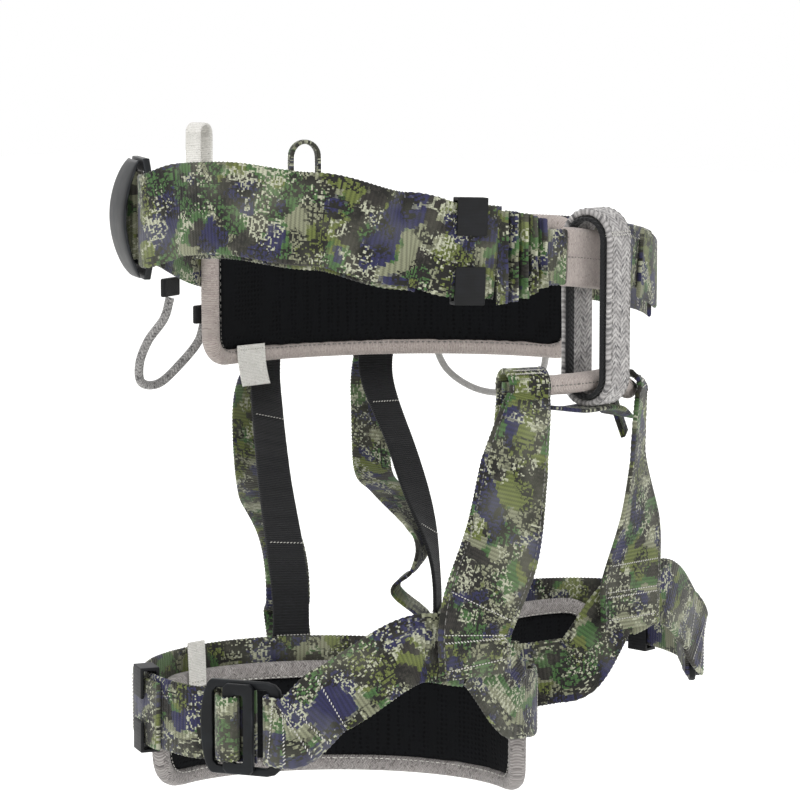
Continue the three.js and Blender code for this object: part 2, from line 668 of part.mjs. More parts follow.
function makeRiseStrap(leg, name) {
  const { side } = leg;
  const curve = new THREE.CatmullRomCurve3(bridgePath(), false, "centripetal");
  const share = side < 0 ? EYE_AT : 1 - EYE_AT;
  const eye = curve.getPoint(share);
  const axis = curve.getTangent(share).multiplyScalar(-side);
  const foot = legAt(leg, RISE_ANGLE, BAR_TURN + LAYER + 0.35, RISE_BOTTOM);
  const toFoot = foot.p.clone().sub(eye);
  const forward = new THREE.Vector3().crossVectors(axis, UP).normalize();
  if (forward.y > 0) {
    forward.negate();
  }
  const turn = BRIDGE_DIAMETER / 2 + EYE_CLEARANCE + WEBBING_THICKNESS / 2;
  const narrow = RISE_EYE_WEBBING / RISE_WEBBING;
  const round = [210, 180, 150, 120, 90, 60, 30, 0, -20].map((a) => {
    const p = eye.clone().addScaledVector(forward, turn * Math.cos(rad(a)));
    p.z += turn * Math.sin(rad(a));
    return { p, w: axis, size: narrow };
  });
  const tail = eye.clone().addScaledVector(forward, -1.2).addScaledVector(toFoot, 0.22);
  round.unshift({ p: tail, w: axis, size: 0.8 });
  const wFoot = new THREE.Vector3().crossVectors(UP, foot.out).normalize();
  if (wFoot.dot(axis) < 0) {
    wFoot.negate();
  }
  const way = (t, bulge) => eye.clone().addScaledVector(toFoot, t).addScaledVector(forward, bulge);
  const down = smoothRun([
    { ...round[round.length - 1] },
    { p: way(0.28, 5), w: axis, size: 0.9 },
    { p: way(0.55, 5), w: axis.clone().lerp(wFoot, 0.5), size: 1 },
    { p: legAt(leg, RISE_ANGLE, BAR_TURN + LAYER + 0.5, RISE_BOTTOM + RISE_SEWN).p, w: wFoot, size: 1 },
    { p: foot.p, w: wFoot, size: 0.95 },
  ], 12).slice(1);
  add(`${name}_rise_strap`, strap([...round, ...down], RISE_WEBBING), CAMO);
}

// The leg buckle's outline: straight where the front strap goes round it, bowed at its rear.
function bowedOutline(front) {
  const half = LEG_BUCKLE_HEIGHT / 2;
  const end = LEG_BUCKLE_LENGTH / 2;
  const rear = angles(-90, 90, 15).map((a) => [
    -end + LEG_BUCKLE_BOW * (1 - Math.cos(THREE.MathUtils.degToRad(a))),
    half * Math.sin(THREE.MathUtils.degToRad(a)),
  ]);
  const nose = [[end - LEG_BUCKLE_CORNER, half], [end, half - LEG_BUCKLE_CORNER],
    [end, LEG_BUCKLE_CORNER - half], [end - LEG_BUCKLE_CORNER, -half]];
  const outline = [...rear, ...nose].map(([x, y]) => [x * front, y]);
  return front > 0 ? outline.reverse() : outline;
}

function makeLegBuckle(station, front, name) {
  const window = cutRectangle(LEG_BUCKLE_LENGTH - 2 * BUCKLE_BAR,
    BAND_WEBBING + LEG_WINDOW_CLEARANCE, 1);
  add(`${name}_buckle_frame`, plate(bowedOutline(front), [window], BUCKLE_PLATE), BLACK_METAL,
    placedOn(station));
  const slot = cutRectangle(SLIDER_SLOT, BAND_WEBBING, 1);
  const slider = cutRectangle(SLIDER_LENGTH, LEG_BUCKLE_HEIGHT - 2, 2);
  add(`${name}_buckle_slider`, plate(slider, [slot], SLIDER_THICKNESS), BLACK_METAL,
    placedOn(station, (BUCKLE_PLATE + SLIDER_THICKNESS) / 2 + LAYER_GAP));
}

function makeLeg(leg, name) {
  const { side } = leg;
  const station = legAt(leg, LEG_BUCKLE_ANGLE, 0, legHeight(LEG_BUCKLE_ANGLE));
  const at = localPoint(station, -side);
  const barAt = (LEG_BUCKLE_LENGTH - BUCKLE_BAR) / 2;
  const front = [
    ...roundBar(at, UP, barAt, BAR_TURN, 12, -1).reverse(),
    { p: at(barAt + 9, BAR_TURN), w: UP },
    ...legRun(leg, ...LEG_FRONT_RUN, BAR_TURN),
  ];
  add(`${name}_front_band`, strap(front, BAND_WEBBING), CAMO);
  // The rear strap runs in under the buckle to the slider.
  const under = -BUCKLE_PLATE / 2 - LAYER_GAP - WEBBING_THICKNESS / 2;
  const back = [
    { p: at(BUCKLE_BAR, under), w: UP },
    { p: at(-barAt, under), w: UP },
    { p: at(-barAt - 9, under), w: UP },
    ...legRun(leg, ...LEG_BACK_RUN, 0),
  ];
  add(`${name}_back_webbing`, strap(back, LEG_WEBBING), CAMO);
  const inner = angles(...LEG_INNER_RUN, LEG_STEP).map((a) => {
    const offset = THREE.MathUtils.mapLinear(a, ...LEG_INNER_RUN, BAR_TURN - LAYER, LAYER);
    return legAt(leg, a, offset, legHeight(Math.max(a, 0)));
  });
  add(`${name}_inner_band`, strap(inner, BAND_WEBBING), CAMO);
  makeLegBuckle(station, -side, name);
  const tail = angles(TAIL_START, TAIL_END, LEG_STEP).map((a) => {
    const lift = Math.max(0, a - TAIL_LIFT) * TAIL_SLOPE;
    return legAt(leg, a, LAYER + lift, legHeight(a) - 1);
  });
  add(`${name}_tail_strap`, strap(tail, BAND_WEBBING), CAMO);
  const keeperAt = (angle) => legAt(leg, angle, 0, legHeight(angle));
  const run = keeperAt(LEG_KEEPER_ANGLE + 2).p.sub(keeperAt(LEG_KEEPER_ANGLE - 2).p);
  makeKeeper(`${name}_keeper`, keeperAt(LEG_KEEPER_ANGLE), run, WEBBING_THICKNESS + LAYER,
    LEG_WEBBING, LEG_KEEPER);
  makePad(`${name}_pad`, (a, offset, z) => legAt(leg, a, offset, z), {
    start: LEG_PAD_START, end: LEG_PAD_END, middle: LEG_PAD_MIDDLE, height: LEG_PAD_HEIGHT,
    thickness: LEG_PAD_THICKNESS, corner: LEG_PAD_CORNER, step: LEG_STEP,
  }, MESH_FABRIC, MELANGE);
  makeRiseStrap(leg, name);
}

// ---- Elastic risers behind the legs ----

function riserBow(share) {
  const k = Math.min(RISER_TACKS.findIndex((tack) => tack > share), RISER_TACKS.length - 1);
  const [from, to] = k < 1 ? [1, 2] : [RISER_TACKS[k - 1], RISER_TACKS[k]];
  return (to - from) * Math.sin(Math.PI * (share - from) / (to - from)) ** 2;
}

function makeRiser(leg, name, { waistAngle, legAngle, clear }) {
  const { p: top, out } = waistAt(waistAngle, 0.4, RISER_TOP);
  const along = new THREE.Vector3().crossVectors(UP, out).normalize();
  const foot = legAt(leg, legAngle, LAYER, RISER_BOTTOM);
  const footAlong = new THREE.Vector3().crossVectors(UP, foot.out).normalize();
  const middle = top.clone().lerp(foot.p, 0.5).addScaledVector(out, 4);
  const stations = smoothRun([
    { p: top, w: along },
    { p: waistAt(waistAngle, 0.8, RISER_TOP - 20).p, w: along },
    { p: waistAt(waistAngle, 1.2, RISER_TOP - 42).p, w: along },
    { p: middle, w: along.clone().lerp(footAlong, 0.4) },
    { p: legAt(leg, legAngle, LAYER + 1.5, RISER_BOTTOM + 30).p, w: footAlong },
    { p: foot.p, w: footAlong },
  ], RISER_STEPS);
  add(`${name}_riser_elastic`, strap(stations, RISER_WIDTH), BLACK_TAPE);
  const gathered = stations.map((s, i) => {
    const next = stations[Math.min(i + 1, RISER_STEPS)].p;
    const t = next.clone().sub(stations[Math.max(i - 1, 0)].p).normalize();
    const normal = new THREE.Vector3().crossVectors(t, s.w).normalize();
    normal.multiplyScalar(Math.sign(normal.dot(out)));
    const bow = RISER_BULGE * riserBow(i / RISER_STEPS);
    return { ...s, p: s.p.clone().addScaledVector(normal, LAYER + clear + bow) };
  });
  add(`${name}_riser_webbing`, strap(gathered, GATHERED_WIDTH), CAMO_DARK);
}

// ---- Tags ----

// A label that hangs from its sewn edge, or stands up where drop is negative.
function makeTag(name, top, { width, inwards, drop }) {
  const along = new THREE.Vector3().crossVectors(UP, top.out).normalize();
  const stations = [0, 0.35, 0.7, 1].map((share) => {
    const p = top.p.clone().addScaledVector(top.out, -inwards * share * share);
    p.z -= drop * share;
    return { p, w: along };
  });
  add(name, strap(stations, width, TAG_THICKNESS), WHITE_TAPE);
}

function makeTags() {
  const behind = (thickness) => -PAD_FACE - thickness - TAG_CLEARANCE - TAG_THICKNESS / 2;
  makeTag("waist_tag", waistAt(WAIST_TAG.angle, behind(PAD_THICKNESS), WAIST_TAG.z), WAIST_TAG);
  makeTag("right_leg_tag", legAt(RIGHT_LEG, LEG_TAG.angle, behind(LEG_PAD_THICKNESS), LEG_TAG.z),
    LEG_TAG);
}

makeWaistWebbing();
makeWaistBuckle();
makeWaistKeeper();
makePad("waist_pad", waistAt, {
  start: PAD_START, end: PAD_END, middle: PAD_MIDDLE, height: PAD_HEIGHT,
  thickness: PAD_THICKNESS, corner: PAD_CORNER, step: WAIST_STEP,
}, MESH_FABRIC, BEIGE);
makeFrontFolds();
makeTieInSleeve();
makeBelayLoop();
makeGearLoops();
makeBridge();
makeLegLink();
makeLeg(RIGHT_LEG, "right_leg");
makeLeg(LEFT_LEG, "left_leg");
makeRiser(RIGHT_LEG, "right", RIGHT_RISER);
makeRiser(LEFT_LEG, "left", LEFT_RISER);
makeTags();
makeTopLoop("haul_loop", HAUL_LOOP, CAMO_DARK);
makeTopLoop("accessory_loop", ACCESSORY_LOOP, WHITE_TAPE);

export default group;
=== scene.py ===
# Looks of the sit harness, in the part's own frame: +X the wearer's left, -Y the front, +Z up.
# Shapes are worked out in millimetres and made in metres.
import math

import bmesh
import bpy
import numpy as np
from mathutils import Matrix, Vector, noise


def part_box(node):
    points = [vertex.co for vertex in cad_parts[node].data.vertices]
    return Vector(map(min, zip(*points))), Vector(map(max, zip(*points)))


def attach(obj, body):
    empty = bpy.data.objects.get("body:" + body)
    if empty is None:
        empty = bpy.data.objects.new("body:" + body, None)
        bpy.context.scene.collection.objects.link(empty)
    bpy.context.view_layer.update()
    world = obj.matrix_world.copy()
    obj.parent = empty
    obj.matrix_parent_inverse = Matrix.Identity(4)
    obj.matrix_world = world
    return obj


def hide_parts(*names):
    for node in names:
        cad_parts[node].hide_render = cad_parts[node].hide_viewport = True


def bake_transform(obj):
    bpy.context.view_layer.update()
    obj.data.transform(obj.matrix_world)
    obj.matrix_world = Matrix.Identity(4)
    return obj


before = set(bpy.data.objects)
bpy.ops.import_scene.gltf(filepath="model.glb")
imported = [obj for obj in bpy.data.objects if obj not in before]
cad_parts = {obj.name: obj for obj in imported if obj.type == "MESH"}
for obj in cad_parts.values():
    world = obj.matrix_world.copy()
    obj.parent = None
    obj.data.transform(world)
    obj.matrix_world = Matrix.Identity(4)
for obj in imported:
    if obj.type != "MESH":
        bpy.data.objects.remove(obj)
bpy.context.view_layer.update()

MM = 0.001
UP = np.array([0.0, 0.0, 1.0])

# ---- Sizes of the CAD part that the soft pieces follow ----
WAIST_HALF_WIDTH = 137
WAIST_HALF_DEPTH = 119
BELT_WEBBING = 43
BAND_WEBBING = 32
LEG_WEBBING = 34
WEBBING_THICKNESS = 2
LAYER = 2.6
BAR_TURN = 3.8
LAYER_GAP = 0.6
PAD_FACE = 1.6
BINDING_WIDTH = 8.5
BUCKLE_BAR = 6
BUCKLE_PLATE = 3.4
BELT_LINE = [(-180, -22), (-150, -5), (-135, 0), (-83, 10), (-63, 6), (-44, -3), (-33, -9),
             (-10, -14), (8, -18), (45, -31), (95, -29), (140, -28), (180, -22)]
LEG_LINE = [(0, -224), (24, -221), (48, -191), (64, -187), (100, -214),
            (118, -225), (180, -224), (249, -222), (360, -224)]
LEGS = {
    "right": {"side": -1, "x": -94, "y": -42, "turn": 50},
    "left": {"side": 1, "x": 90, "y": -39, "turn": 20.5},
}
LEG_LONG = 91
LEG_SHORT = 62
WAIST_BUCKLE_ANGLE = -122
LEG_BUCKLE_ANGLE = 118
BRIDGE_FRONT = -122
BRIDGE_HEIGHT = -74
EYE_AT = 0.13
RIB = 2.0  # pitch of the webbing's crosswise ribs


# ---- Paths ----
def unit(v):
    return np.asarray(v, float) / np.linalg.norm(v)


def line_height(rows, angle):
    for (a0, z0), (a1, z1) in zip(rows, rows[1:]):
        if angle <= a1:
            share = min(max((angle - a0) / (a1 - a0), 0), 1)
            return z0 + (z1 - z0) * share * share * (3 - 2 * share)
    return rows[-1][1]


def belt_height(angle):
    return line_height(BELT_LINE, (angle + 180) % 360 - 180)


def leg_height(angle):
    return line_height(LEG_LINE, angle % 360)


def waist_out(angle):
    a = math.radians(angle)
    return unit([math.sin(a) / WAIST_HALF_WIDTH, -math.cos(a) / WAIST_HALF_DEPTH, 0])


def waist_at(angle, offset, z):
    a = math.radians(angle)
    ring = np.array([math.sin(a) * WAIST_HALF_WIDTH, -math.cos(a) * WAIST_HALF_DEPTH, z])
    return ring + waist_out(angle) * offset


def leg_axes(leg):
    turn = math.radians(leg["turn"])
    long = np.array([-leg["side"] * math.cos(turn), -math.sin(turn), 0])
    short = np.array([leg["side"] * math.sin(turn), -math.cos(turn), 0])
    return long, short


def leg_out(leg, angle):
    long, short = leg_axes(leg)
    a = math.radians(angle)
    return unit(long * math.cos(a) / LEG_LONG + short * math.sin(a) / LEG_SHORT)


def leg_at(leg, angle, offset, z):
    long, short = leg_axes(leg)
    a = math.radians(angle)
    ring = np.array([leg["x"], leg["y"], z]) + long * LEG_LONG * math.cos(a)
    return ring + short * LEG_SHORT * math.sin(a) + leg_out(leg, angle) * offset


def waist_run(start, end, offset, lift=0, step=2.5):
    return [waist_at(a, offset, belt_height(a) + lift) for a in spread(start, end, step)]


def leg_run(leg, start, end, offset, step=3):
    return [leg_at(leg, a, offset, leg_height(a)) for a in spread(start, end, step)]


def spread(start, end, step):
    return np.linspace(start, end, max(2, round(abs(end - start) / step)) + 1)


def curve_through(points, shares):
    """A centripetal curve through the points, read at shares of its run from 0 to 1."""
    points = np.asarray(points, float)
    before = 2 * points[0] - points[1]
    after = 2 * points[-1] - points[-2]
    padded = np.vstack([before, points, after])
    gaps = np.sqrt(np.linalg.norm(np.diff(padded, axis=0), axis=1))
    found = []
    for share in shares:
        at = min(share * (len(points) - 1), len(points) - 1 - 1e-9)
        k = int(at)
        t = at - k
        p0, p1, p2, p3 = padded[k:k + 4]
        d0, d1, d2 = gaps[k:k + 3]
        m1 = d1 * ((p1 - p0) / d0 - (p2 - p0) / (d0 + d1) + (p2 - p1) / d1)
        m2 = d1 * ((p2 - p1) / d1 - (p3 - p1) / (d1 + d2) + (p3 - p2) / d2)
        found.append(p1 + m1 * t + (3 * (p2 - p1) - 2 * m1 - m2) * t * t
                     + (2 * (p1 - p2) + m1 + m2) * t ** 3)
    return np.array(found)


class Run:
    """A strap's middle line at even steps, with its width and face directions."""

    def __init__(self, points, across=UP, size=1.0, step=0.7, closed=False):
        points = np.asarray(points, float)
        count = len(points)
        across = np.broadcast_to(np.asarray(across, float), (count, 3))
        size = np.broadcast_to(np.asarray(size, float), count)
        if closed:
            points, across, size = (np.concatenate([v, v[:1]]) for v in (points, across, size))
        gaps = np.linalg.norm(np.diff(points, axis=0), axis=1)
        marks = np.concatenate([[0], np.cumsum(gaps)])
        self.length = marks[-1]
        steps = max(3, round(self.length / step))
        s = np.linspace(0, self.length, steps + 1)
        shares = np.interp(s, marks, np.linspace(0, 1, len(points)))
        self.p = curve_through(points, shares)
        self.w = np.column_stack([np.interp(s, marks, across[:, k]) for k in range(3)])
        self.size = np.interp(s, marks, size)
        self.s = s
        self.closed = closed
        if closed:
            self.p, self.w, self.size, self.s = self.p[:-1], self.w[:-1], self.size[:-1], s[:-1]
        self.orient()

    def orient(self):
        if self.closed:
            t = np.roll(self.p, -1, axis=0) - np.roll(self.p, 1, axis=0)
        else:
            t = np.gradient(self.p, axis=0)
        self.t = t / np.linalg.norm(t, axis=1)[:, None]
        w = self.w - self.t * np.sum(self.w * self.t, axis=1)[:, None]
        self.w = w / np.linalg.norm(w, axis=1)[:, None]
        self.n = np.cross(self.t, self.w)

    def wave(self, amount, length, seed):
        """Moves the line in and out a little, as handled webbing lies."""
        lift = [amount * noise.noise(Vector((s / length, seed, 0.5))) for s in self.s]
        fade = np.ones(len(self.s))
        if not self.closed:
            fade = np.clip(np.minimum(self.s, self.length - self.s) / 12, 0, 1)
        self.p = self.p + self.n * (np.array(lift) * fade)[:, None]
        self.orient()
        return self

    def at(self, s, x, lift):
        """A point x across the strap at length s, lifted off its middle surface."""
        k = int(np.clip(np.searchsorted(self.s, s), 0, len(self.s) - 1))
        return self.p[k] + self.w[k] * x * self.size[k] + self.n[k] * lift, k


# ---- Meshes ----
def linked(name, data):
    obj = bpy.data.objects.new(name, data)
    bpy.context.scene.collection.objects.link(obj)
    return obj


def new_object(name, verts, faces, attributes=None):
    mesh = bpy.data.meshes.new(name)
    mesh.from_pydata((np.asarray(verts) * MM).tolist(), [], faces)
    for key, values in (attributes or {}).items():
        layer = mesh.attributes.new(key, "FLOAT_VECTOR", "POINT")
        layer.data.foreach_set("vector", np.asarray(values, np.float32).ravel())
    mesh.shade_smooth()
    return linked(name, mesh)


def ring_faces(rings, sides, closed):
    faces = []
    for i in range(rings if closed else rings - 1):
        j = (i + 1) % rings
        for k in range(sides):
            m = (k + 1) % sides
            faces.append((i * sides + k, i * sides + m, j * sides + m, j * sides + k))
    if not closed:
        faces.append(tuple(range(sides))[::-1])
        faces.append(tuple((rings - 1) * sides + k for k in range(sides)))
    return faces


def hollow_faces(rings, sides):
    """Faces of a tube open at both ends, whose rings lie in pairs: outer, then inner."""
    faces = []
    for i in range(rings - 1):
        a, b = 2 * i * sides, 2 * (i + 1) * sides
        for k in range(sides):
            m = (k + 1) % sides
            faces.append((a + k, a + m, b + m, b + k))
            faces.append((a + sides + m, a + sides + k, b + sides + k, b + sides + m))
    end = 2 * (rings - 1) * sides
    for k in range(sides):
        m = (k + 1) % sides
        faces.append((m, k, sides + k, sides + m))
        faces.append((end + k, end + m, end + sides + m, end + sides + k))
    return faces


def section(width, thickness, round_at, column):
    """Across positions and heights of a flat section with rounded edges: face, then back."""
    half = width / 2
    r = min(round_at, half)
    edge = [half - r * (1 - math.cos(math.radians(a))) for a in (0, 30, 60, 90)]
    flat = np.linspace(-half + r, half - r, max(2, round((width - 2 * r) / column)) + 1)[1:-1]
    x = np.concatenate([-np.array(edge), flat, np.array(edge)[::-1]])
    inward = np.clip((np.abs(x) - (half - r)) / r, 0, 1)
    h = thickness / 2 * np.sqrt(np.clip(1 - inward ** 2, 0, 1))
    return np.concatenate([x, x[-2:0:-1]]), np.concatenate([h, -h[-2:0:-1]])


def webbing(name, run, width, thickness=WEBBING_THICKNESS, rib=0.14, pitch=RIB, pillow=0.0,
            frayed=0.12, column=2.6, shift=0.0, round_at=None, edge_cord=0.0):
    """A flat woven strap. rib is the height of its crosswise ribs, pillow a crown across it."""
    x, h = section(width, thickness, round_at or thickness * 0.55, column)
    side = np.sign(h)
    verts = np.empty((len(run.s), len(x), 3))
    lay = np.empty_like(verts)
    ribs = np.cos(2 * np.pi * run.s / pitch)
    for i in range(len(run.s)):
        size = run.size[i]
        reach = np.abs(x) / (width / 2)
        lift = h + side * rib * 0.5 * ribs[i] * np.clip(1.6 * (1 - reach) + 0.3, 0, 1)
        lift = lift + side * pillow * (1 - reach ** 2)
        lift = lift + side * edge_cord * np.exp(-((reach - 0.9) / 0.06) ** 2)
        spread_out = x * size + np.sign(x) * (reach > 0.98) * frayed * ribs[i]
        verts[i] = run.p[i] + np.outer(spread_out, run.w[i]) + np.outer(lift, run.n[i])
        lay[i] = np.column_stack([np.full(len(x), run.s[i] + shift), x * size + shift * 0.37,
                                  side])
    faces = ring_faces(len(run.s), len(x), run.closed)
    return new_object(name, verts.reshape(-1, 3), faces, {"lay": lay.reshape(-1, 3)})


def round_cord(name, run, diameter, sides=18):
    a = np.linspace(0, 2 * np.pi, sides, endpoint=False)
    x = np.cos(a) * diameter / 2
    h = np.sin(a) * diameter / 2
    verts = np.array([p + np.outer(x, w) + np.outer(h, n)
                      for p, w, n in zip(run.p, run.w, run.n)])
    lay = np.array([np.column_stack([np.full(sides, s), a * diameter / 2, np.zeros(sides)])
                    for s in run.s])
    faces = ring_faces(len(run.s), sides, run.closed)
    return new_object(name, verts.reshape(-1, 3), faces, {"lay": lay.reshape(-1, 3)})


def carry_direction(points, first):
    """Turns a direction along a cord's points so that it never twists."""
    tangents = np.gradient(np.asarray(points, float), axis=0)
    w, found = np.asarray(first, float), []
    for t in tangents:
        t = unit(t)
        w = unit(w - t * np.dot(w, t))
        found.append(w)
    return np.array(found)


def round_edges(mesh, steepest, width, segments, profile):
    """Rounds the edges where the faces turn by more than an angle, in degrees."""
    bmesh.ops.dissolve_limit(mesh, angle_limit=math.radians(1), verts=mesh.verts, edges=mesh.edges)
    sharp = [e for e in mesh.edges
             if e.is_manifold and e.calc_face_angle(0) > math.radians(steepest)]
    bmesh.ops.bevel(mesh, geom=sharp, offset=width * MM, segments=segments, profile=profile,
                    affect="EDGES", clamp_overlap=True)


def smooth_but_sharp(data):
    data.shade_smooth()
    data.set_sharp_from_angle(angle=math.radians(50))


def bevelled(name, node_name, width, segments=3):
    """The CAD node's own shape with its edges rounded."""
    obj = linked(name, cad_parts[node_name].data.copy())
    mesh = bmesh.new()
    mesh.from_mesh(obj.data)
    bmesh.ops.remove_doubles(mesh, verts=mesh.verts, dist=0.00002)
    round_edges(mesh, 35, width, segments, 0.6)
    mesh.normal_update()
    mesh.to_mesh(obj.data)
    mesh.free()
    obj.data.materials.clear()
    smooth_but_sharp(obj.data)
    return obj


# ---- Materials ----
def colour(code):
    """A linear colour from an sRGB code."""
    parts = [int(code[i:i + 2], 16) / 255 for i in (0, 2, 4)]
    return (*[c / 12.92 if c <= 0.04045 else ((c + 0.055) / 1.055) ** 2.4 for c in parts], 1)


def fill(tree, made, inputs):
    """Links each input to a socket, or sets it to a value."""
    for key, value in inputs.items():
        if isinstance(value, bpy.types.NodeSocket):
            tree.links.new(value, made.inputs[key])
        else:
            made.inputs[key].default_value = value


def node(tree, kind, inputs=None, **settings):
    made = tree.nodes.new(kind)
    for key, value in settings.items():
        setattr(made, key, value)
    fill(tree, made, inputs or {})
    return made


def math_node(tree, operation, a, b=None, c=None):
    values = {k: v for k, v in enumerate((a, b, c)) if v is not None}
    return node(tree, "ShaderNodeMath", values, operation=operation).outputs[0]


def mixed(tree, share, a, b):
    made = node(tree, "ShaderNodeMix", {0: share, 6: a, 7: b}, data_type="RGBA")
    return made.outputs[2]


def step_up(tree, value, low, high):
    made = node(tree, "ShaderNodeMapRange", {0: value, 1: low, 2: high})
    return made.outputs[0]


def new_material(name):
    material = bpy.data.materials.new(name)
    material.use_nodes = True
    tree = material.node_tree
    return material, tree, tree.nodes["Principled BSDF"]


def lay_coordinates(tree):
    """The strap's own coordinates in millimetres, then its run and its width alone."""
    lay = node(tree, "ShaderNodeAttribute", attribute_name="lay").outputs["Vector"]
    parts = node(tree, "ShaderNodeSeparateXYZ", {0: lay}).outputs
    return lay, parts["X"], parts["Y"]


def object_coordinates(tree):
    place = node(tree, "ShaderNodeTexCoord").outputs["Object"]
    scaled = node(tree, "ShaderNodeVectorMath", {0: place, 1: (1000, 1000, 1000)},
                  operation="MULTIPLY")
    return scaled.outputs[0]


def patches(tree, where, size, seed, detail=1.0):
    """Cloudy values from 0 to 1 whose patches are about size millimetres wide."""
    moved = node(tree, "ShaderNodeVectorMath", {0: where, 1: (seed * 7.3, seed * 3.1, seed * 5.7)},
                 operation="ADD").outputs[0]
    made = node(tree, "ShaderNodeTexNoise", {"Vector": moved, "Scale": 1 / size,
                "Detail": detail, "Roughness": 0.55}, noise_dimensions="3D")
    return made.outputs["Fac"]


def snapped(tree, where, cell):
    return node(tree, "ShaderNodeVectorMath", {0: where, 1: (cell, cell, cell)},
                operation="SNAP").outputs[0]


def bump(tree, height, strength, distance_mm, under=None):
    inputs = {"Height": height, "Strength": strength, "Distance": distance_mm * MM}
    if under is not None:
        inputs["Normal"] = under
    return node(tree, "ShaderNodeBump", inputs).outputs[0]


def weave_height(tree, along, across, pitch, thread):
    """Crosswise ribs with lengthwise threads over them."""
    rib = math_node(tree, "COSINE", math_node(tree, "MULTIPLY", along, 2 * math.pi / pitch))
    row = math_node(tree, "FLOOR", math_node(tree, "DIVIDE", along, pitch / 2))
    slide = math_node(tree, "MULTIPLY", math_node(tree, "MODULO", row, 2), thread / 2)
    shifted = math_node(tree, "ADD", across, slide)
    warp = math_node(tree, "COSINE", math_node(tree, "MULTIPLY", shifted, 2 * math.pi / thread))
    return math_node(tree, "MULTIPLY_ADD", warp, 0.45, rib)


def camo_material(name, light, seed):
    """Polyamide webbing, woven and then printed: matt and ribbed, with a small-block pattern.

    light dims the print as painted shade, for the copy laid on straps in shadow. The ribs and threads
    are drawn coarse enough to show.
    """
    material, tree, bsdf = new_material(name)
    lay, along, across = lay_coordinates(tree)
    flat = node(tree, "ShaderNodeVectorMath", {0: lay, 1: (1, 1, 0)}, operation="MULTIPLY")
    place = flat.outputs[0]
    jitter = node(tree, "ShaderNodeTexNoise", {"Vector": place, "Scale": 0.55})
    shaken = node(tree, "ShaderNodeVectorMath", {0: jitter.outputs["Color"], 1: (2.2, 2.2, 0),
                  2: place}, operation="MULTIPLY_ADD").outputs[0]
    block = snapped(tree, shaken, 1.5)
    cell = snapped(tree, place, 0.7)
    # Grounds, laid one over another
    field = colour("3f5f33")
    for number, size, low, high, code in ((1, 17, 0.495, 0.51, "7d7f67"),
                                          (2, 19, 0.55, 0.56, "5f6833"),
                                          (3, 16, 0.56, 0.57, "2b2824"),
                                          (4, 18, 0.55, 0.56, "26264a")):
        share = step_up(tree, patches(tree, block, size, seed + number), low, high)
        field = mixed(tree, share, field, colour(code))
    # Fine wandering marks: a pale network in some places, a dark one in others
    for number, size, wide, code, low in ((5, 2.3, 0.075, "a9ab95", 0.5),
                                          (8, 2.4, 0.1, "171612", 0.47)):
        worm = math_node(tree, "ABSOLUTE", math_node(tree, "SUBTRACT",
                         patches(tree, cell, size, seed + number, 0.0), 0.5))
        marks = math_node(tree, "LESS_THAN", worm, wide)
        where = step_up(tree, patches(tree, block, 15, seed + number + 1), low, low + 0.04)
        field = mixed(tree, math_node(tree, "MULTIPLY", marks, where), field, colour(code))
    height = weave_height(tree, along, across, RIB, 1.1)
    # Painted shade: the weave's valleys are darkened toward near black
    valley = step_up(tree, height, -1.4, 0.7)
    field = mixed(tree, math_node(tree, "MULTIPLY_ADD", valley, 0.5, 0.5), colour("0b0d08"), field)
    fade = patches(tree, place, 30, seed + 11, 3.0)
    field = mixed(tree, math_node(tree, "MULTIPLY", step_up(tree, fade, 0.45, 0.8), 0.16), field,
                  colour("c6c8ae"))
    shade = node(tree, "ShaderNodeVectorMath", {0: field, 1: (light, light, light)},
                 operation="MULTIPLY").outputs[0]
    fibres = patches(tree, place, 0.35, seed + 12, 2.0)
    normal = bump(tree, height, 0.55, 0.22)
    fill(tree, bsdf, {"Base Color": shade,
                      "Roughness": math_node(tree, "MULTIPLY_ADD", fibres, 0.25, 0.62),
                      "Normal": bump(tree, fibres, 0.25, 0.12, normal),
                      "Specular IOR Level": 0.3, "Sheen Weight": 0.12})
    return material


def woven_material(name, base, fleck, dark, pitch, thread, chevron=0.0, amount=0.45, rough=0.75,
                   sheen=0.15, black_under=None):
    """Polyester tape, woven from dyed yarn: matt, with flecks one thread wide.

    chevron slants the weave to a herringbone of that width. Its threads are drawn coarse
    enough to show.
    """
    material, tree, bsdf = new_material(name)
    lay, along, across = lay_coordinates(tree)
    run = along
    if chevron:
        fold = math_node(tree, "PINGPONG", across, chevron / 2)
        run = math_node(tree, "MULTIPLY_ADD", fold, 0.9, along)
    height = weave_height(tree, run, across, pitch, thread)
    cells = node(tree, "ShaderNodeCombineXYZ", {0: math_node(tree, "DIVIDE", run, pitch / 2),
                 1: math_node(tree, "DIVIDE", across, thread)}).outputs[0]
    cell = node(tree, "ShaderNodeTexWhiteNoise", {0: snapped(tree, cells, 1.0)},
                noise_dimensions="3D").outputs["Value"]
    cloud = patches(tree, lay, 7, 3, 3.0)
    pick = math_node(tree, "MULTIPLY_ADD", cloud, 0.5, math_node(tree, "MULTIPLY", cell, 0.5))
    tone = mixed(tree, step_up(tree, pick, 0.3, 0.7), colour(base), colour(fleck))
    tone = mixed(tree, math_node(tree, "MULTIPLY", step_up(tree, cell, 1 - amount, 1.0), 0.85),
                 tone, colour(dark))
    # Painted shade: the weave's valleys are darkened toward the dark colour
    valley = step_up(tree, height, -1.4, 0.5)
    tone = mixed(tree, math_node(tree, "MULTIPLY_ADD", valley, 0.55, 0.45), colour(dark), tone)
    if black_under is not None:  # one edge of the tape is woven black
        edge = math_node(tree, "LESS_THAN", across, black_under)
        tone = mixed(tree, edge, tone, colour("0c0d10"))
    fibres = patches(tree, lay, 0.3, 9, 2.0)
    normal = bump(tree, height, 0.6, 0.25)
    fill(tree, bsdf, {"Base Color": tone,
                      "Roughness": math_node(tree, "MULTIPLY_ADD", fibres, 0.2, rough - 0.1),
                      "Normal": bump(tree, fibres, 0.3, 0.12, normal),
                      "Specular IOR Level": 0.3, "Sheen Weight": sheen})
    return material


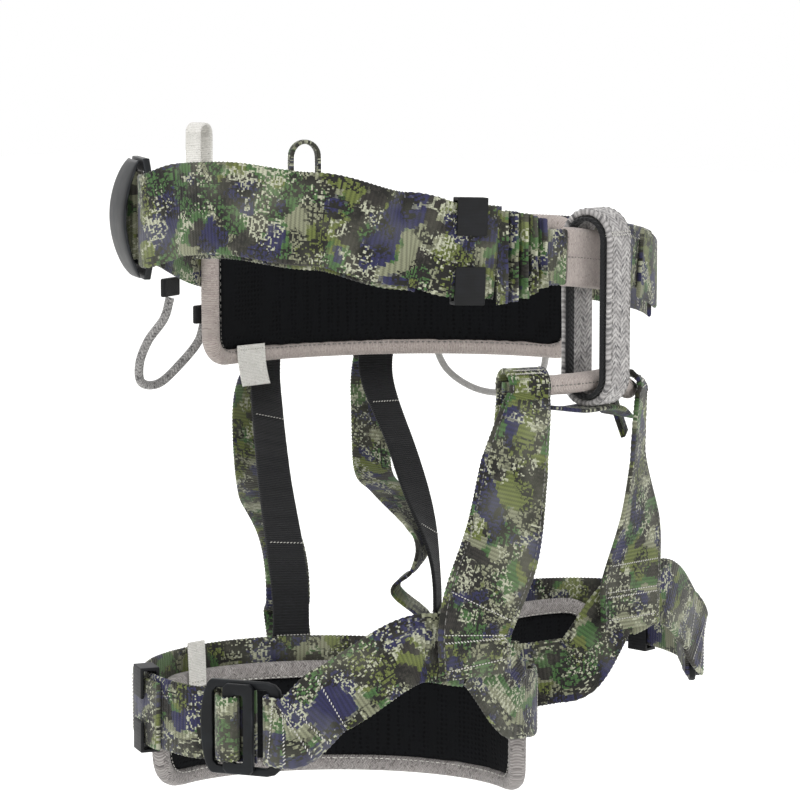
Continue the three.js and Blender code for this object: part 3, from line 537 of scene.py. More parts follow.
def mesh_material():
    """Knitted polyester spacer mesh over foam: dull black, with small round holes painted darker as
    shade in their depth.
    """
    material, tree, bsdf = new_material("pad_mesh")
    place = object_coordinates(tree)
    holes = node(tree, "ShaderNodeTexVoronoi", {"Vector": place, "Scale": 0.42, "Randomness": 0.18},
                 feature="F1").outputs["Distance"]
    rim = step_up(tree, holes, 0.12, 0.42)
    cloud = patches(tree, place, 18, 2, 3.0)
    # Painted shade: the sunken holes are coloured darker than the mesh around them
    tone = mixed(tree, rim, colour("010102"), colour("0a0b0d"))
    tone = mixed(tree, math_node(tree, "MULTIPLY", step_up(tree, cloud, 0.45, 0.8), 0.3), tone,
                 colour("15161a"))
    fill(tree, bsdf, {"Base Color": tone,
                      "Roughness": math_node(tree, "MULTIPLY_ADD", cloud, 0.2, 0.72),
                      "Normal": bump(tree, rim, 0.7, 0.4), "Specular IOR Level": 0.1})
    return material


def coated_metal_material():
    """Pressed metal, powder coated: satin black, rubbed a little paler at its edges."""
    material, tree, bsdf = new_material("satin_black_coated_metal")
    place = object_coordinates(tree)
    cloud = patches(tree, place, 9, 4, 4.0)
    fine = patches(tree, place, 0.4, 6, 2.0)
    tone = mixed(tree, step_up(tree, cloud, 0.4, 0.75), colour("0a0c0f"), colour("14181c"))
    edge = node(tree, "ShaderNodeBevel", {0: 0.0007}, samples=4).outputs[0]
    flat = node(tree, "ShaderNodeNewGeometry").outputs["Normal"]
    turn = node(tree, "ShaderNodeVectorMath", {0: edge, 1: flat}, operation="DOT_PRODUCT")
    worn = math_node(tree, "MULTIPLY", step_up(tree, turn.outputs["Value"], 0.995, 0.93),
                     step_up(tree, cloud, 0.42, 0.6))
    tone = mixed(tree, math_node(tree, "MULTIPLY", worn, 0.35), tone, colour("6a6e74"))
    fill(tree, bsdf, {"Base Color": tone,
                      "Roughness": math_node(tree, "MULTIPLY_ADD", cloud, 0.2, 0.38),
                      "Normal": bump(tree, fine, 0.12, 0.05), "Specular IOR Level": 0.22})
    return material


def plastic_material():
    """Moulded acetal: smooth and slightly glossy black, with fine lengthwise ribs."""
    material, tree, bsdf = new_material("ribbed_black_plastic")
    place = object_coordinates(tree)
    z = node(tree, "ShaderNodeSeparateXYZ", {0: place}).outputs["Z"]
    rib = math_node(tree, "COSINE", math_node(tree, "MULTIPLY", z, 2 * math.pi / 1.6))
    cloud = patches(tree, place, 6, 5, 3.0)
    tone = mixed(tree, step_up(tree, cloud, 0.4, 0.7), colour("08090b"), colour("111216"))
    fill(tree, bsdf, {"Base Color": tone,
                      "Roughness": math_node(tree, "MULTIPLY_ADD", cloud, 0.2, 0.42),
                      "Normal": bump(tree, rib, 0.18, 0.15), "Specular IOR Level": 0.25})
    return material


def thread_material(name, code):
    """Twisted polyester thread: a fine slanting grain, drawn coarse enough to show."""
    material, tree, bsdf = new_material(name)
    place = object_coordinates(tree)
    twist = patches(tree, place, 0.5, 7, 2.0)
    tone = mixed(tree, step_up(tree, twist, 0.3, 0.7), colour(code), colour("8d8b86"))
    fill(tree, bsdf, {"Base Color": tone, "Normal": bump(tree, twist, 0.5, 0.08),
                      "Roughness": 0.55})
    return material


CAMO = camo_material("printed_webbing", 1.0, 0)
# A painted-shade copy of the printed webbing: the same print dimmed to 0.8
CAMO_SHADE = camo_material("printed_webbing_in_shade", 0.8, 20)
BEIGE = woven_material("beige_tape", "a79c97", "bdb2ac", "7d746f", 0.9, 0.8, amount=0.1)
MELANGE = woven_material("grey_flecked_loop_webbing", "949190", "cbc8c6", "242329", 2.4, 1.5,
                         chevron=8.4, amount=0.34)
LINING = woven_material("black_edged_loop_lining", "949190", "cbc8c6", "242329", 2.4, 1.5,
                        chevron=8.4, amount=0.34, black_under=-5.0)
BINDING = woven_material("grey_flecked_binding", "8b8684", "b0aba8", "3f3a3a", 1.3, 0.9,
                         chevron=3.0, amount=0.3)
CORD_MELANGE = woven_material("grey_flecked_cord", "8b8988", "b5b3b1", "262528", 1.8, 1.1,
                              chevron=3.6, amount=0.4)
CORD_SMOOTH = woven_material("smooth_grey_cord", "aaa8a6", "b8b6b4", "7c7a78", 0.7, 0.7,
                             amount=0.1, rough=0.55)
TAPE = woven_material("black_tape", "08090b", "0e0f12", "030304", 1.1, 0.9, amount=0.15,
                      sheen=0.05)
ELASTIC = woven_material("black_elastic", "08090b", "121317", "020203", 1.4, 1.0, amount=0.2,
                         sheen=0.05)
WHITE = woven_material("off_white_tape", "dad8d2", "eceae5", "a9a7a0", 0.8, 0.7, amount=0.08)
PAD_MESH = mesh_material()
METAL = coated_metal_material()
PLASTIC = plastic_material()
THREADS = {"pale": thread_material("pale_thread", "d8d6cf"),
           "dark": thread_material("dark_thread", "1c1d20")}


# ---- Putting a finished piece in place ----
def place(obj, material, body, slot, *nodes):
    obj.data.materials.clear()
    obj.data.materials.append(material)
    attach(obj, body)
    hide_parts(*nodes)
    return obj


def camo_strap(name, run, width, body, node_name, shaded=False, **weave):
    material = CAMO_SHADE if shaded else CAMO
    slot = "camo_webbing_shade" if shaded else "camo_webbing"
    return place(webbing(name, run, width, **weave), material, body, slot, node_name)


# ---- Stitches: points that carry a direction, a face direction and a length ----
stitches = {}


def stitch(body, thread, a, b, normal):
    rows = stitches.setdefault((body, thread), [])
    rows.append((*((a + b) / 2), *(b - a), *normal))


def seam(body, run, x, lift, thread="dark", pitch=3.2, fill=0.68, start=0.0, end=None):
    """A row of stitches along a strap, on both its faces."""
    s = start
    while s + pitch < (run.length if end is None else end):
        for side in (1, -1):
            a, k = run.at(s, x, side * lift)
            b, _ = run.at(s + pitch * fill, x, side * lift)
            stitch(body, thread, a, b, run.n[k] * side)
        s += pitch


def bar_tack(body, run, s, width, lift, thread="pale", rows=1, gap=2.2, pitch=1.7, slant=0.5):
    """Close rows of stitches across a strap, on both its faces."""
    for row in range(rows):
        place_s = s + row * gap
        for x in np.arange(-width / 2, width / 2 - pitch * 0.6, pitch):
            for side in (1, -1):
                a, k = run.at(place_s - slant / 2, x, side * lift)
                b, _ = run.at(place_s + slant / 2, x + pitch * 0.72, side * lift)
                stitch(body, thread, a, b, run.n[k] * side)


def thread_group():
    """Geometry Nodes: a short bead of thread on each point, turned and stretched along its stitch."""
    group = bpy.data.node_groups.new("threads", "GeometryNodeTree")
    socket = group.interface.new_socket
    socket("Geometry", in_out="INPUT", socket_type="NodeSocketGeometry")
    socket("Thickness", in_out="INPUT", socket_type="NodeSocketFloat")
    socket("Thread", in_out="INPUT", socket_type="NodeSocketMaterial")
    socket("Geometry", in_out="OUTPUT", socket_type="NodeSocketGeometry")
    enter = node(group, "NodeGroupInput")
    bead = node(group, "GeometryNodeMeshUVSphere", {"Segments": 6, "Rings": 5, "Radius": 0.5})
    way = node(group, "GeometryNodeInputNamedAttribute", {"Name": "way"},
               data_type="FLOAT_VECTOR").outputs[0]
    face = node(group, "GeometryNodeInputNamedAttribute", {"Name": "face"},
                data_type="FLOAT_VECTOR").outputs[0]
    turn = node(group, "FunctionNodeAlignRotationToVector", {"Vector": way}, axis="Z").outputs[0]
    turn = node(group, "FunctionNodeAlignRotationToVector", {"Rotation": turn, "Vector": face},
                axis="X", pivot_axis="Z").outputs[0]
    length = node(group, "ShaderNodeVectorMath", {0: way}, operation="LENGTH").outputs["Value"]
    thin = node(group, "ShaderNodeMath", {0: enter.outputs["Thickness"], 1: 0.6},
                operation="MULTIPLY").outputs[0]
    size = node(group, "ShaderNodeCombineXYZ", {0: thin, 1: enter.outputs["Thickness"],
                2: length}).outputs[0]
    spots = node(group, "GeometryNodeMeshToPoints", {"Mesh": enter.outputs["Geometry"]})
    beads = node(group, "GeometryNodeInstanceOnPoints", {"Points": spots.outputs[0],
                 "Instance": bead.outputs["Mesh"], "Rotation": turn, "Scale": size})
    solid = node(group, "GeometryNodeRealizeInstances", {0: beads.outputs[0]})
    dyed = node(group, "GeometryNodeSetMaterial", {"Geometry": solid.outputs[0],
                "Material": enter.outputs["Thread"]})
    leave = node(group, "NodeGroupOutput")
    group.links.new(dyed.outputs[0], leave.inputs[0])
    return group


def make_threads():
    group = thread_group()
    names = {i.name: i.identifier for i in group.interface.items_tree if i.in_out == "INPUT"}
    for (body, thread), rows in stitches.items():
        rows = np.array(rows)
        points = new_object(f"{body}_{thread}_points", rows[:, :3], [],
                            {"way": rows[:, 3:6] * MM, "face": rows[:, 6:9]})
        modifier = points.modifiers.new("threads", "NODES")
        modifier.node_group = group
        modifier[names["Thickness"]] = 0.62 * MM
        modifier[names["Thread"]] = THREADS[thread]
        bpy.context.view_layer.update()
        graph = bpy.context.evaluated_depsgraph_get()
        mesh = bpy.data.meshes.new_from_object(points.evaluated_get(graph))
        bpy.data.objects.remove(points)
        mesh.shade_smooth()
        sewn = linked(f"{body}_{thread}_stitches", mesh)
        if body in riser_ends:
            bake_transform(sewn)
        else:
            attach(sewn, body)


# ---- Waist belt ----
def local_point(p, out, direction):
    x = np.cross(UP, out)
    return lambda along, outwards: p + x * direction * along + out * outwards


def round_bar(at, bar, radius, run, direction):
    """A strap's way round a buckle's bar: outside, round, and back inside."""
    edge = bar + direction * (BUCKLE_BAR - BUCKLE_PLATE) / 2
    turn = [at(edge + direction * radius * math.cos(math.radians(a)),
               radius * math.sin(math.radians(a))) for a in range(90, -91, -15)]
    return [*turn, at(bar - direction * run, -radius)]


def make_waist_webbing():
    p = waist_at(WAIST_BUCKLE_ANGLE, 0, belt_height(WAIST_BUCKLE_ANGLE))
    at = local_point(p, waist_out(WAIST_BUCKLE_ANGLE), 1)
    front = Run([*round_bar(at, 21, BAR_TURN, 16, -1)[::-1], at(35, BAR_TURN),
                 *waist_run(-98, -25.6, BAR_TURN)]).wave(0.5, 34, 1)
    camo_strap("belt_front", front, BELT_WEBBING, "waist", "waist_front_webbing", frayed=0.22,
               rib=0.2, edge_cord=0.12)
    under = Run(waist_run(-94, -40, BAR_TURN - LAYER, -1.9)).wave(0.4, 30, 2)
    camo_strap("belt_underlayer", under, BELT_WEBBING, "waist", "waist_front_underlayer",
               shaded=True, frayed=0.22, shift=140, rib=0.2)
    back = Run([*round_bar(at, -21, BAR_TURN, 12, 1)[::-1], at(-31, BAR_TURN),
                *waist_run(212, 42, 0)]).wave(0.3, 34, 3)
    camo_strap("belt_back", back, BELT_WEBBING, "waist", "waist_back_webbing", frayed=0.22,
               shift=310, rib=0.2)
    for s in (back.length - 12, back.length - 30):
        bar_tack("waist", back, s, 38, 1.25, rows=2)
    left = Run(waist_run(62, 20, LAYER))
    camo_strap("belt_left", left, LEG_WEBBING, "waist", "waist_left_webbing", frayed=0.2,
               shift=520, rib=0.2)
    tie_in = Run(waist_run(30, -14, 0))
    camo_strap("tie_in_strap", tie_in, 24, "waist", "tie_in_webbing", shift=610)


def make_front_folds():
    """The belt's end gathered into upright pleats, and the tab sewn beside it."""
    points, sizes = [], []
    for a in np.linspace(-25.6, -14.5, 111):
        turn = (a + 25.6) / 2.2
        deep = 5.2 * (0.5 - 0.5 * math.cos(2 * math.pi * turn)) ** 0.7
        share = (a + 25.6) / 11.1
        points.append(waist_at(a, BAR_TURN + deep - 0.2, -12.4 + 1.5 * share ** 2))
        sizes.append(1.06 - 0.34 * share ** 1.6)
    run = Run(points, size=sizes, step=0.35)
    strap = webbing("folded_end", run, 41, 1.0, rib=0.1, frayed=0.1, shift=700, column=2.0)
    bm = bmesh.new()
    bm.from_mesh(strap.data)
    for v in bm.verts:
        push = noise.noise(v.co * 130) * 0.0007
        v.co.z += push * 1.6
        v.co.y += push
    bm.to_mesh(strap.data)
    bm.free()
    place(strap, CAMO, "waist", "camo_webbing", "front_folded_webbing")
    tab = Run([waist_at(a, LAYER, belt_height(a)) for a in np.linspace(-14, -8.5, 9)], step=0.5)
    camo_strap("front_tab_tape", tab, 26, "waist", "front_tab", frayed=0.3, shift=760)


def make_tie_in_sleeve():
    """A flat woven sleeve pulled over the tie-in strap, sewn along its middle."""
    run = Run(waist_run(-8, 12, 0, step=1), step=0.6)
    outer_x, outer_h = section(27.8, 5.8, 2.6, 2.0)
    inner_x, inner_h = section(25.4, 3.4, 1.6, 2.0)
    count = min(len(outer_x), len(inner_x))
    verts, lay = [], []
    for i, s in enumerate(run.s):
        for x, h, sign in ((outer_x, outer_h, 1), (inner_x, inner_h, -1)):
            dent = 1 - 0.16 * np.exp(-(x / 1.1) ** 2) * (sign > 0)
            swell = 0.25 * math.sin(math.pi * s / run.length) * np.sign(h) * (sign > 0)
            pick = np.linspace(0, len(x) - 1, count).round().astype(int)
            verts.append((run.p[i] + np.outer(x, run.w[i])
                          + np.outer(h * dent + swell, run.n[i]))[pick])
            lay.append(np.column_stack([np.full(count, s), x[pick], np.full(count, sign)]))
    sleeve = new_object("tie_in_cover", np.concatenate(verts), hollow_faces(len(run.s), count),
                        {"lay": np.concatenate(lay)})
    place(sleeve, BEIGE, "waist", "beige_tape", "tie_in_sleeve")
    seam("waist", run, 0, 2.85, "dark", 2.2)


def make_waist_hardware():
    frame_piece = bevelled("waist_buckle_plate", "waist_buckle_frame", 0.9)
    place(frame_piece, METAL, "waist", "black_metal", "waist_buckle_frame")
    # The cover plate: bowed from top to bottom, with rounded corners and a rolled rim
    p = waist_at(WAIST_BUCKLE_ANGLE, 0, belt_height(WAIST_BUCKLE_ANGLE))
    out = waist_out(WAIST_BUCKLE_ANGLE)
    x = np.cross(UP, out)
    rows, columns = 40, 30
    verts = []
    for face in (1, -1):
        for v in np.linspace(-1, 1, rows):
            for u in np.linspace(-1, 1, columns):
                pinch = (1 - abs(v) ** 5 * 0.3) * (1 - 0.1 * max(0, v) ** 2)
                rim = max(abs(u), abs(v)) ** 10
                lift = 4.4 + 7.8 * (1 - v * v) - 0.9 * u * u + face * 1.25 * (1 - 0.75 * rim)
                verts.append(p + x * u * 21.8 * pinch + UP * v * 28 + out * lift)
    faces = []
    count = rows * columns
    for i in range(rows - 1):
        for k in range(columns - 1):
            a = i * columns + k
            faces.append((a, a + 1, a + columns + 1, a + columns))
            faces.append(tuple(count + n for n in (a, a + columns, a + columns + 1, a + 1)))
    rim = list(range(columns)) + [i * columns + columns - 1 for i in range(1, rows)]
    rim += [(rows - 1) * columns + k for k in range(columns - 2, -1, -1)]
    rim += [i * columns for i in range(rows - 2, 0, -1)]
    for a, b in zip(rim, rim[1:] + rim[:1]):
        faces.append((b, a, count + a, count + b))
    cover = new_object("waist_buckle_cover_plate", verts, faces)
    place(cover, METAL, "waist_buckle_cover", "black_metal", "waist_buckle_cover")
    keeper = bevelled("waist_keeper_clip", "waist_keeper", 0.55)
    place(keeper, PLASTIC, "waist_keeper", "black_plastic", "waist_keeper")


# ---- Pads ----
PAD_REACH = 1.8  # how far a pad's edge goes in under its binding
PAD_VOXEL = 0.0026  # metres
SWELL_FRAMES = 14


def make_pad(name, cad_node, body, centre, crown):
    """A foam pad swelled by a pressure simulation inside its bound edge."""
    pad = linked(name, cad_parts[cad_node].data.copy())
    rest_middle = np.array(centre) * MM
    # Its edge reaches in under the binding on every side
    points = np.array([v.co for v in pad.data.vertices])
    reach = points - rest_middle
    height = np.abs(reach[:, 2]).max()
    angle = np.arctan2(reach[:, 1], reach[:, 0])
    middle = math.atan2(*reach[:, :2].mean(axis=0)[::-1])
    away = (angle - middle + math.pi) % (2 * math.pi) - math.pi
    push = away / np.abs(away).max() * PAD_REACH * MM
    points[:, 0] -= np.sin(angle) * push
    points[:, 1] += np.cos(angle) * push
    points[:, 2] += reach[:, 2] / height * PAD_REACH * MM
    pad.data.vertices.foreach_set("co", points.ravel())
    bpy.context.view_layer.objects.active = pad
    remesh = pad.modifiers.new("even_faces", "REMESH")
    remesh.mode = "VOXEL"
    remesh.voxel_size = PAD_VOXEL
    bpy.ops.object.select_all(action="DESELECT")
    pad.select_set(True)
    bpy.ops.object.modifier_apply(modifier=remesh.name)
    before = np.array([v.co for v in pad.data.vertices])
    cloth = pad.modifiers.new("swell", "CLOTH")
    settings = cloth.settings
    settings.quality = 5
    settings.use_pressure = True
    settings.uniform_pressure_force = 3.0
    settings.effector_weights.gravity = 0
    settings.tension_stiffness = settings.compression_stiffness = 20
    settings.shear_stiffness = 12
    cloth.point_cache.frame_end = SWELL_FRAMES
    for number in range(1, SWELL_FRAMES + 1):
        bpy.context.scene.frame_set(number)
    bpy.ops.object.modifier_apply(modifier=cloth.name)
    bpy.context.scene.frame_set(1)
    after = np.array([v.co for v in pad.data.vertices])
    move = after - before
    far = np.linalg.norm(move, axis=1)
    limit = crown * MM
    move *= (np.minimum(far, limit) / np.maximum(far, 1e-9))[:, None]
    after = before + move
    # Keep to the bound edge and off the webbing outside it
    for i, co in enumerate(after):
        out = before[i] - rest_middle
        out[2] = 0
        out = unit(out)
        outward = np.dot(after[i] - before[i], out)
        if outward > 0:
            after[i] -= out * outward
        after[i] += out * -0.0007 * (noise.noise(Vector(co) * 60) + 0.4)
    pad.data.vertices.foreach_set("co", after.ravel())
    pad.data.update()
    smooth = pad.modifiers.new("smooth", "SUBSURF")
    smooth.levels = 1
    bpy.ops.object.modifier_apply(modifier=smooth.name)
    pad.data.shade_smooth()
    place(pad, PAD_MESH, body, "pad_mesh", cad_node)


def patch_path(at, start, end, low, high, corner, step=1.5):
    """A rounded patch's outline on a ring, as points, with the face direction at each."""
    rate = [np.linalg.norm(at(a + 0.5)[0] - at(a - 0.5)[0]) for a in (start + 4, end - 4)]
    near, far = (corner / r for r in rate)
    straight = spread(start + near, end - far, step)[1:-1]

    def rounded(angle, z, wide, first):
        turns = [math.radians(first - t) for t in range(0, 91, 15)]
        return [(angle + wide * math.cos(t), z + corner * math.sin(t)) for t in turns]

    rows = [(a, high) for a in straight]
    rows += rounded(end - far, high - corner, far, 90)
    rows += rounded(end - far, low + corner, far, 0)
    rows += [(a, low) for a in straight[::-1]]
    rows += rounded(start + near, low + corner, near, -90)
    rows += rounded(start + near, high - corner, near, -180)
    points = [at(a)[0] + UP * z for a, z in rows]
    outs = [at(a)[1] for a, _ in rows]
    return np.array(points), np.array(outs)


def make_binding(name, node_name, body, slot, material, at, shape, thread):
    start, end, low, high, corner, thickness = shape
    points, outs = patch_path(at, start, end, low, high, corner)
    ahead = np.roll(points, -1, axis=0) - np.roll(points, 1, axis=0)
    across = np.cross(ahead, outs)
    across /= np.linalg.norm(across, axis=1)[:, None]
    run = Run(points, across, step=0.9, closed=True)
    tape = webbing(name, run, BINDING_WIDTH, thickness, rib=0.16, pitch=1.8, frayed=0.05,
                   round_at=3.6, column=1.2, pillow=0.15)
    place(tape, material, body, slot, node_name)
    inner = -2.7 if np.dot(run.w[0], UP) > 0 else 2.7
    seam(body, run, inner, thickness / 2 + 0.12, thread, 3.0)
    return run


def make_waist_pad():
    offset = -PAD_FACE - 4.5
    rate = [np.linalg.norm(waist_at(a + 0.5, offset, 0) - waist_at(a - 0.5, offset, 0))
            for a in (86, 185)]
    half = BINDING_WIDTH / 2
    shape = (82 + half / rate[0], 189 - half / rate[1], -83 + half, -7 - half, 16 - half, 9)
    make_binding("waist_pad_edge", "waist_pad_binding", "waist", "beige_tape", BEIGE,
                 lambda a: (waist_at(a, offset, 0), waist_out(a)), shape, "dark")
    make_pad("waist_pad_body", "waist_pad", "waist", (0, 0, -45), 1.6)


# ---- Belay loop ----
def upright_loop(radius, top, bottom, middle_x, middle_y):
    points = [(middle_x, middle_y + radius * math.cos(math.radians(a)),
               top + radius * math.sin(math.radians(a))) for a in range(0, 181, 12)]
    down = np.linspace(top, bottom, 14)[1:-1]
    points += [(middle_x, middle_y - radius, z) for z in down]
    points += [(middle_x, middle_y + radius * math.cos(math.radians(a)),
                bottom + radius * math.sin(math.radians(a))) for a in range(180, 361, 12)]
    points += [(middle_x, middle_y + radius, z) for z in down[::-1]]
    return points


def make_belay_loop():
    low, high = (np.array(v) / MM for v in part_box("belay_loop"))
    middle_x, middle_y = (low + high)[:2] / 2
    outer = (high[1] - low[1]) / 2 - 1.5
    inner = outer - 3.1
    top, bottom = high[2] - 1.5 - outer, low[2] + 1.5 + outer
    run = Run(upright_loop(outer, top, bottom, middle_x, middle_y), (1, 0, 0), closed=True,
              step=0.6).wave(0.35, 26, 8)
    loop = webbing("belay_loop_webbing", run, 17, 3.0, rib=0.08, pitch=2.4, frayed=0.04,
                   round_at=1.4, pillow=0.25, column=1.4)
    place(loop, MELANGE, "belay_loop", "melange_webbing", "belay_loop")
    top_s = 0.25 * (2 * math.pi * outer)
    for s in (run.length - 4, top_s + outer * 1.25):
        bar_tack("belay_loop", run, s, 15, 1.95, rows=2, gap=1.4)
    for x in (-6.9, 6.9):
        seam("belay_loop", run, x, 1.72, "dark", 3.0)
    lining = Run(upright_loop(inner, top, bottom, middle_x, middle_y), (1, 0, 0), closed=True,
                 step=0.8)
    tape = webbing("belay_loop_backing", lining, 20, 2.0, rib=0.12, pitch=1.6, frayed=0.12)
    place(tape, LINING, "belay_loop", "black_tape", "belay_loop_lining")


# ---- Bridge, link and rise straps ----
def bridge_points():
    def point(share):
        x = 40 * share
        ease = min(max((x - 12) / 40, 0), 1)
        return (x, BRIDGE_FRONT + 10 * share ** 2,
                BRIDGE_HEIGHT - 10 * ease * ease * (3 - 2 * ease))
    return [point(s) for s in (-1.25, -1, -0.6, -0.2, 0.2, 0.6, 1, 1.25)]


def make_bridge():
    core = Run(curve_through(bridge_points(), np.linspace(0, 1, 41)), step=0.7)
    camo_strap("bridge_core", core, 5, "waist", "bridge_webbing", thickness=2.4, shift=800)
    run = Run(curve_through(bridge_points(), np.linspace(0.07, 0.93, 61)), step=0.7)
    sides = 28
    a = np.linspace(0, 2 * np.pi, sides, endpoint=False)
    verts, lay = [], []
    for i, s in enumerate(run.s):
        for radius, sign in ((4.75, 1), (3.35, -1)):
            ripple = 0.22 * noise.noise(Vector((s / 5, 3, 1))) + 0.12 * np.cos(3 * a + s / 6)
            r = radius + ripple * (sign > 0)
            verts.append(run.p[i] + np.outer(np.cos(a) * r, run.w[i])
                         + np.outer(np.sin(a) * r, run.n[i]))
            lay.append(np.column_stack([np.full(sides, s), a * 4.75, np.full(sides, sign)]))
    sleeve = new_object("bridge_cover", np.concatenate(verts), hollow_faces(len(run.s), sides),
                        {"lay": np.concatenate(lay)})
    place(sleeve, BEIGE, "waist", "beige_tape", "bridge_sleeve")
    seam("waist", run, 0, 4.85, "dark", 2.4)


def make_link():
    low, high = (np.array(v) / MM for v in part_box("leg_link_webbing"))
    rows = [(-26, 9, 2), (-12, 3, 0), (6, 2, 0), (17, 3, -1.5), (26, 5, -6)]
    under = high[2] - 3.0
    points = [(x, BRIDGE_FRONT + back, under + up) for x, back, up in rows]
    run = Run(curve_through(points, np.linspace(0, 1, 25)), (0, 1, 0))
    camo_strap("leg_link_strap", run, 18, "waist", "leg_link_webbing", shaded=True, shift=860)


def rise_stations(leg):
    side = leg["side"]
    share = EYE_AT if side < 0 else 1 - EYE_AT
    eye, = curve_through(bridge_points(), [share])
    ends = curve_through(bridge_points(), [share - 0.002, share + 0.002])
    axis = unit(ends[1] - ends[0]) * -side
    forward = unit(np.cross(axis, UP))
    if forward[1] > 0:
        forward = -forward
    foot = leg_at(leg, 48, BAR_TURN + LAYER + 0.35, -202)
    to_foot = foot - eye
    turn = 4.75 + 2.0 + 1
    rows = [(eye - forward * 1.2 + to_foot * 0.19, axis, 0.5)]
    for a in (210, 180, 150, 120, 90, 60, 30, 0, -20):
        r = math.radians(a)
        rows.append((eye + forward * turn * math.cos(r) + UP * turn * math.sin(r), axis, 0.525))
    foot_w = unit(np.cross(UP, leg_out(leg, 48)))
    if np.dot(foot_w, axis) < 0:
        foot_w = -foot_w
    rows.append((eye + to_foot * 0.28 + forward * 5, axis, 0.86))
    rows.append((eye + to_foot * 0.55 + forward * 5, unit(axis + foot_w), 1.0))
    rows.append((leg_at(leg, 48, BAR_TURN + LAYER + 0.5, -178), foot_w, 1.0))
    rows.append((foot, foot_w, 0.95))
    return rows


def make_rise_strap(leg, name):
    rows = rise_stations(leg)
    run = Run([r[0] for r in rows], [r[1] for r in rows], [r[2] for r in rows]).wave(0.5, 30, 4)
    camo_strap(f"{name}_rise", run, 40, f"{name}_leg", f"{name}_leg_rise_strap", rib=0.2,
               frayed=0.2, edge_cord=0.25, shift=900 if leg["side"] < 0 else 1040)
    eye_end = 30
    for s, width, count in ((eye_end + 14, 27, 2), (run.length - 34, 34, 1),
                            (run.length - 20, 34, 2), (run.length - 6, 32, 1)):
        bar_tack(f"{name}_leg", run, s, width, 1.3, "pale", rows=count, gap=2.4)
    for x in (-17.5, 17.5):
        seam(f"{name}_leg", run, x, 1.3, "dark", 2.6, start=eye_end + 8)


# ---- Leg loops ----
def make_leg_webbing(leg, name):
    body = f"{name}_leg"
    side = leg["side"]
    base = 1200 if side < 0 else 1500
    p = leg_at(leg, LEG_BUCKLE_ANGLE, 0, leg_height(LEG_BUCKLE_ANGLE))
    at = local_point(p, leg_out(leg, LEG_BUCKLE_ANGLE), -side)
    front = Run([*round_bar(at, 17, BAR_TURN, 12, -1)[::-1], at(26, BAR_TURN),
                 *leg_run(leg, 92, 50, BAR_TURN)]).wave(0.6, 28, 5 + side)
    camo_strap(f"{body}_front", front, BAND_WEBBING, body, f"{body}_front_band", rib=0.2,
               frayed=0.2, edge_cord=0.2, shift=base)
    for s in (26, 32, 38, 44, 58):
        bar_tack(body, front, s, 28, 1.3, "pale", rows=1)
    under = -BUCKLE_PLATE / 2 - LAYER_GAP - WEBBING_THICKNESS / 2
    back = Run([at(BUCKLE_BAR, under), at(-17, under), at(-26, under),
                *leg_run(leg, 147, 363, 0)]).wave(0.5, 30, 9 + side)
    camo_strap(f"{body}_back", back, LEG_WEBBING, body, f"{body}_back_webbing", rib=0.2,
               frayed=0.2, shift=base + 90)
    way = [(-13.2, -2.4), (-11.8, 0.8), (-9.6, 4.6), (-6.6, 6.9), (-3.4, 6.7), (-1.4, 4.6),
           (-1.3, 1.6), (-3, -0.9), (-6, -1.6)]
    points = curve_through([at(u, o) for u, o in way], np.linspace(0, 1, 41))
    turn = webbing(f"{body}_strap_turn", Run(points, step=0.4), BAND_WEBBING - 2, 1.8, rib=0.2,
                   frayed=0.25, shift=base + 60)
    turn.data.materials.append(CAMO)
    tuple(at(-12.5, 0) * MM)
    tuple(at(-7, 4) * MM)
    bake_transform(turn)
    inner_points = []
    for a in spread(60, -6, 3):
        offset = (BAR_TURN - LAYER) + (LAYER - BAR_TURN + LAYER) * (60 - a) / 66
        inner_points.append(leg_at(leg, a, offset, leg_height(max(a, 0))))
    inner = Run(inner_points).wave(0.4, 24, 12 + side)
    camo_strap(f"{body}_inner", inner, BAND_WEBBING, body, f"{body}_inner_band", rib=0.2,
               frayed=0.2, edge_cord=0.2, shift=base + 180)
    bar_tack(body, inner, inner.length - 10, 28, 1.3, "pale", rows=2)
    tail_points = [leg_at(leg, a, LAYER + max(0, a - 176) * 0.35, leg_height(a) - 1)
                   for a in spread(152, 186, 2)]
    tail = Run(tail_points).wave(0.3, 20, 15 + side)
    camo_strap(f"{body}_tail", tail, BAND_WEBBING, body, f"{body}_tail_strap", rib=0.2, frayed=0.2,
               shift=base + 240)
    bar_tack(body, tail, tail.length - 5, 28, 1.3, "pale", rows=2)


def buckle_outline(side):
    """A D-shaped frame: straight at the front, bowed at the rear. u runs to the front."""
    outer = [(19.9, -15), (19.2, -18.5), (16.6, -21), (13, -22)]
    outer += [(-20 + 6 * (1 - math.cos(math.radians(a))), 22 * math.sin(math.radians(a)))
              for a in range(-90, 91, 9)]
    outer += [(13, 22), (16.6, 21), (19.2, 18.5), (19.9, 15)]
    window = [(13.9, -17), (12.9, -18.1), (-12, -18.1), (-13.8, -16), (-13.8, 16), (-12, 18.1),
              (12.9, 18.1), (13.9, 17)]
    turn = -side
    return [(u * turn, v) for u, v in outer], [(u * turn, v) for u, v in window]


